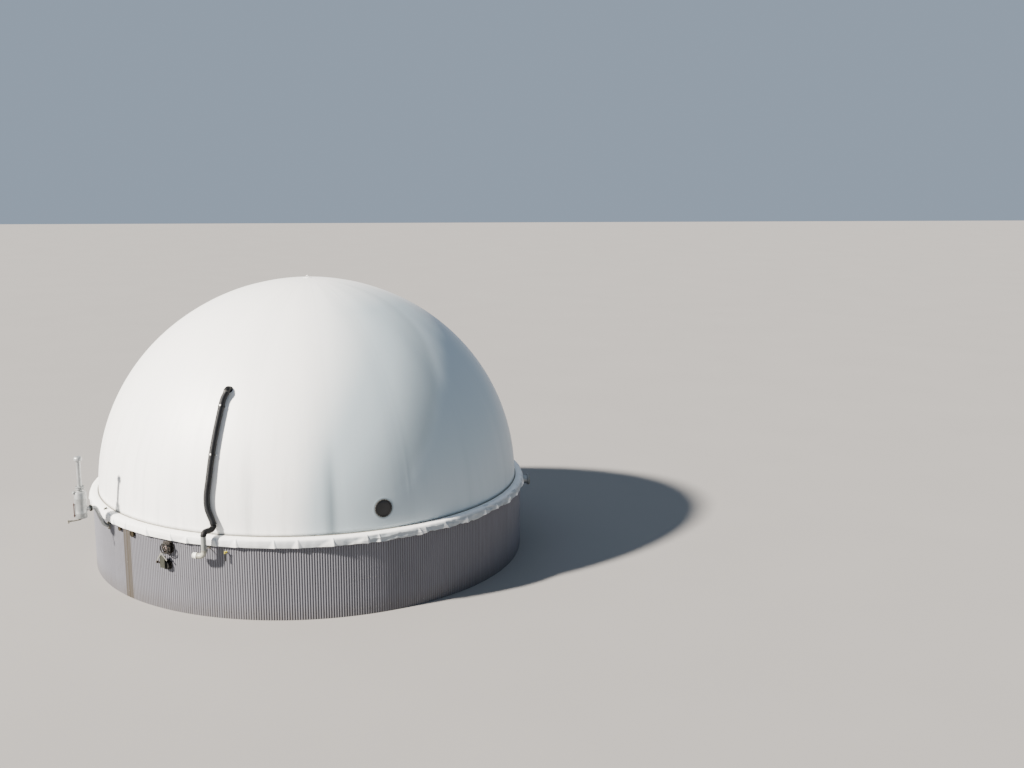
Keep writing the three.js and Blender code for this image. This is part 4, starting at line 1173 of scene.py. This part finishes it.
def makeLowerValve():
    f = fittings
    place = onWall(*f["lowerValve"])
    addPiece("lower_valve", placed(turned(f["lowerBody"], 48), place), "enamel", ["lower_slide_valve"])
    addPiece("lower_valve_bolts", bolts(8, 0.125, 0.022, place, 0.03), "iron")
    plates = [block(0.188, 0.368, 0.1305, 0.143, 0.012), block(0.17, 0.35, 0.143, 0.174, 0.006),
              block(0.188, 0.368, 0.174, 0.186, 0.012)]
    housing = placed(moved(joined(*plates), -0.075, 0.115), place)
    addPiece("lower_housing", housing, "housing", ["lower_valve_housing"], slotName="grey_paint")
    spindlePlace = frameAt(toWorld([-0.1703, 0.085, 0.1583], place), -place[1][0])
    addPiece("lower_spindle", placed(turned(f["spindle"], 32), spindlePlace), "iron", ["lower_valve_spindle"])
    # the lever: a flat bar bent once, up from the left and down to the right
    (x0, y0), (x1, y1), (x2, y2) = f["leverLine"]
    line = [[x0, y0], [x0 + 0.9 * (x1 - x0), y0 + 0.9 * (y1 - y0)], [x1, y1 - 0.004],
            [x1 + 0.1 * (x2 - x1), y1 + 0.1 * (y2 - y1)], [x2, y2]]
    bar = sweep(roundedRectangle(0.038, 0.015, 0.003, 3), np.insert(line, 2, f["leverHeight"], axis=1), up)
    addPiece("lower_lever", placed(bar, place), "limedBar", ["lower_valve_lever"])


def makeTap():
    f = fittings
    place = onWall(*f["gasTap"])
    tap = joined(turned(f["tap"], 24), moved(block(0.024, 0.078, 0.11, 0.1215, 0.005), 0, 0.026))
    addPiece("gas_tap_body", placed(tap, place), "yellow", ["gas_tap"])
    drop = moved(laid(turned(f["drop"], 24)), 0, 0, 0.087)
    addPiece("gas_tap_drop", placed(drop, place), "enamel", ["gas_tap_pipe"])


def makeOutlet():
    y, height, radius, reach = fittings["outlet"]
    width = fittings["outletFlange"]
    place = frameAt((tank["claddingOuter"], y, tank["wallHeight"] + height), (1, 0, 0))
    nozzle = turned([(0, -0.05), (radius, -0.05), (radius, reach - 0.034), (radius + 0.004, reach - 0.03),
                     (radius + 0.052, reach - 0.028), (radius + width, reach - 0.025),
                     (radius + width, reach - 0.002), (radius + 0.052, reach), (0, reach)], 64)
    addPiece("outlet_pipe", placed(nozzle, place), "stainless", ["outlet_nozzle"], slotName="dark_paint")
    blank = disc(radius + width, reach + 0.0003, reach + 0.03, 0.003, 64)
    addPiece("outlet_blank", placed(blank, place), "galvanised", ["outlet_blank_flange"])
    addPiece("outlet_bolts", bolts(12, radius + 0.03, 0.024, place, reach + 0.03 - 0.0005), "zinc")


def makeLiftingEye():
    e = fittings["eye"]
    line = np.insert(circle(40, e["radius"]), 1, 0, axis=1) + [0, 0, e["height"]]
    eye = sweep(circle(12, e["bar"]), line, (0, 1, 0), closed=True)
    place = frameAt((0, 0, tank["domeFoot"] + tank["domeRise"]), up, (0, 1, 0))
    crown = joined(eye, turned(fittings["crownPatch"], 48))
    addPiece("crown_eye", placed(crown, place), "membrane", ["crown_lifting_eye"])


makeStubs()
makeUpperValve()
makeLowerValve()
makeTap()
makeOutlet()
makeLiftingEye()
print("fittings made")

for name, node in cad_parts.items():
    if name.startswith(("tank_floor", "concrete_wall")):
        node.data.materials.clear()
        node.data.materials.append(materials["concrete"][0])


# Floor, sky and sun

stage = {
    "floorHalf": 200.0,
    "floorColours": ("#8a8886", "#858381"),
    "floorSpots": 0.2,  # per metre
    "sky": "#cee2fb",
    "skyStrength": 0.5,
    "sunWay": (0.786, 0.2478, -0.5664),
    "sunStrength": 19.5,
    "sunAngle": 3.5,
    "sunColour": "#fff6ea",
}


def makeStage():
    s = stage
    material, tree, shader, place = startMaterial("pale floor", Roughness=0.9)
    wire(tree, shader, mixed(tree, *s["floorColours"], noise(tree, place, s["floorSpots"])))
    corners = np.array([[-1, -1, 0], [1, -1, 0], [1, 1, 0], [-1, 1, 0]]) * s["floorHalf"]
    mesh = bpy.data.meshes.new("floor")
    mesh.from_pydata(corners.tolist(), [], [(0, 1, 2, 3)])
    mesh.materials.append(material)
    floor = addObject("floor", mesh)
    world = bpy.data.worlds.new("sky")
    world.use_nodes = True
    background = world.node_tree.nodes["Background"]
    background.inputs["Color"].default_value = linear(s["sky"])
    background.inputs["Strength"].default_value = s["skyStrength"]
    bpy.context.scene.world = world
    sun = bpy.data.lights.new("sun", "SUN")
    sun.energy = s["sunStrength"]
    sun.angle = np.radians(s["sunAngle"])
    sun.color = linear(s["sunColour"])[:3]
    addObject("sun", sun, frameAt((0, 0, 0), -np.array(s["sunWay"])))


makeStage()
print("stage made")
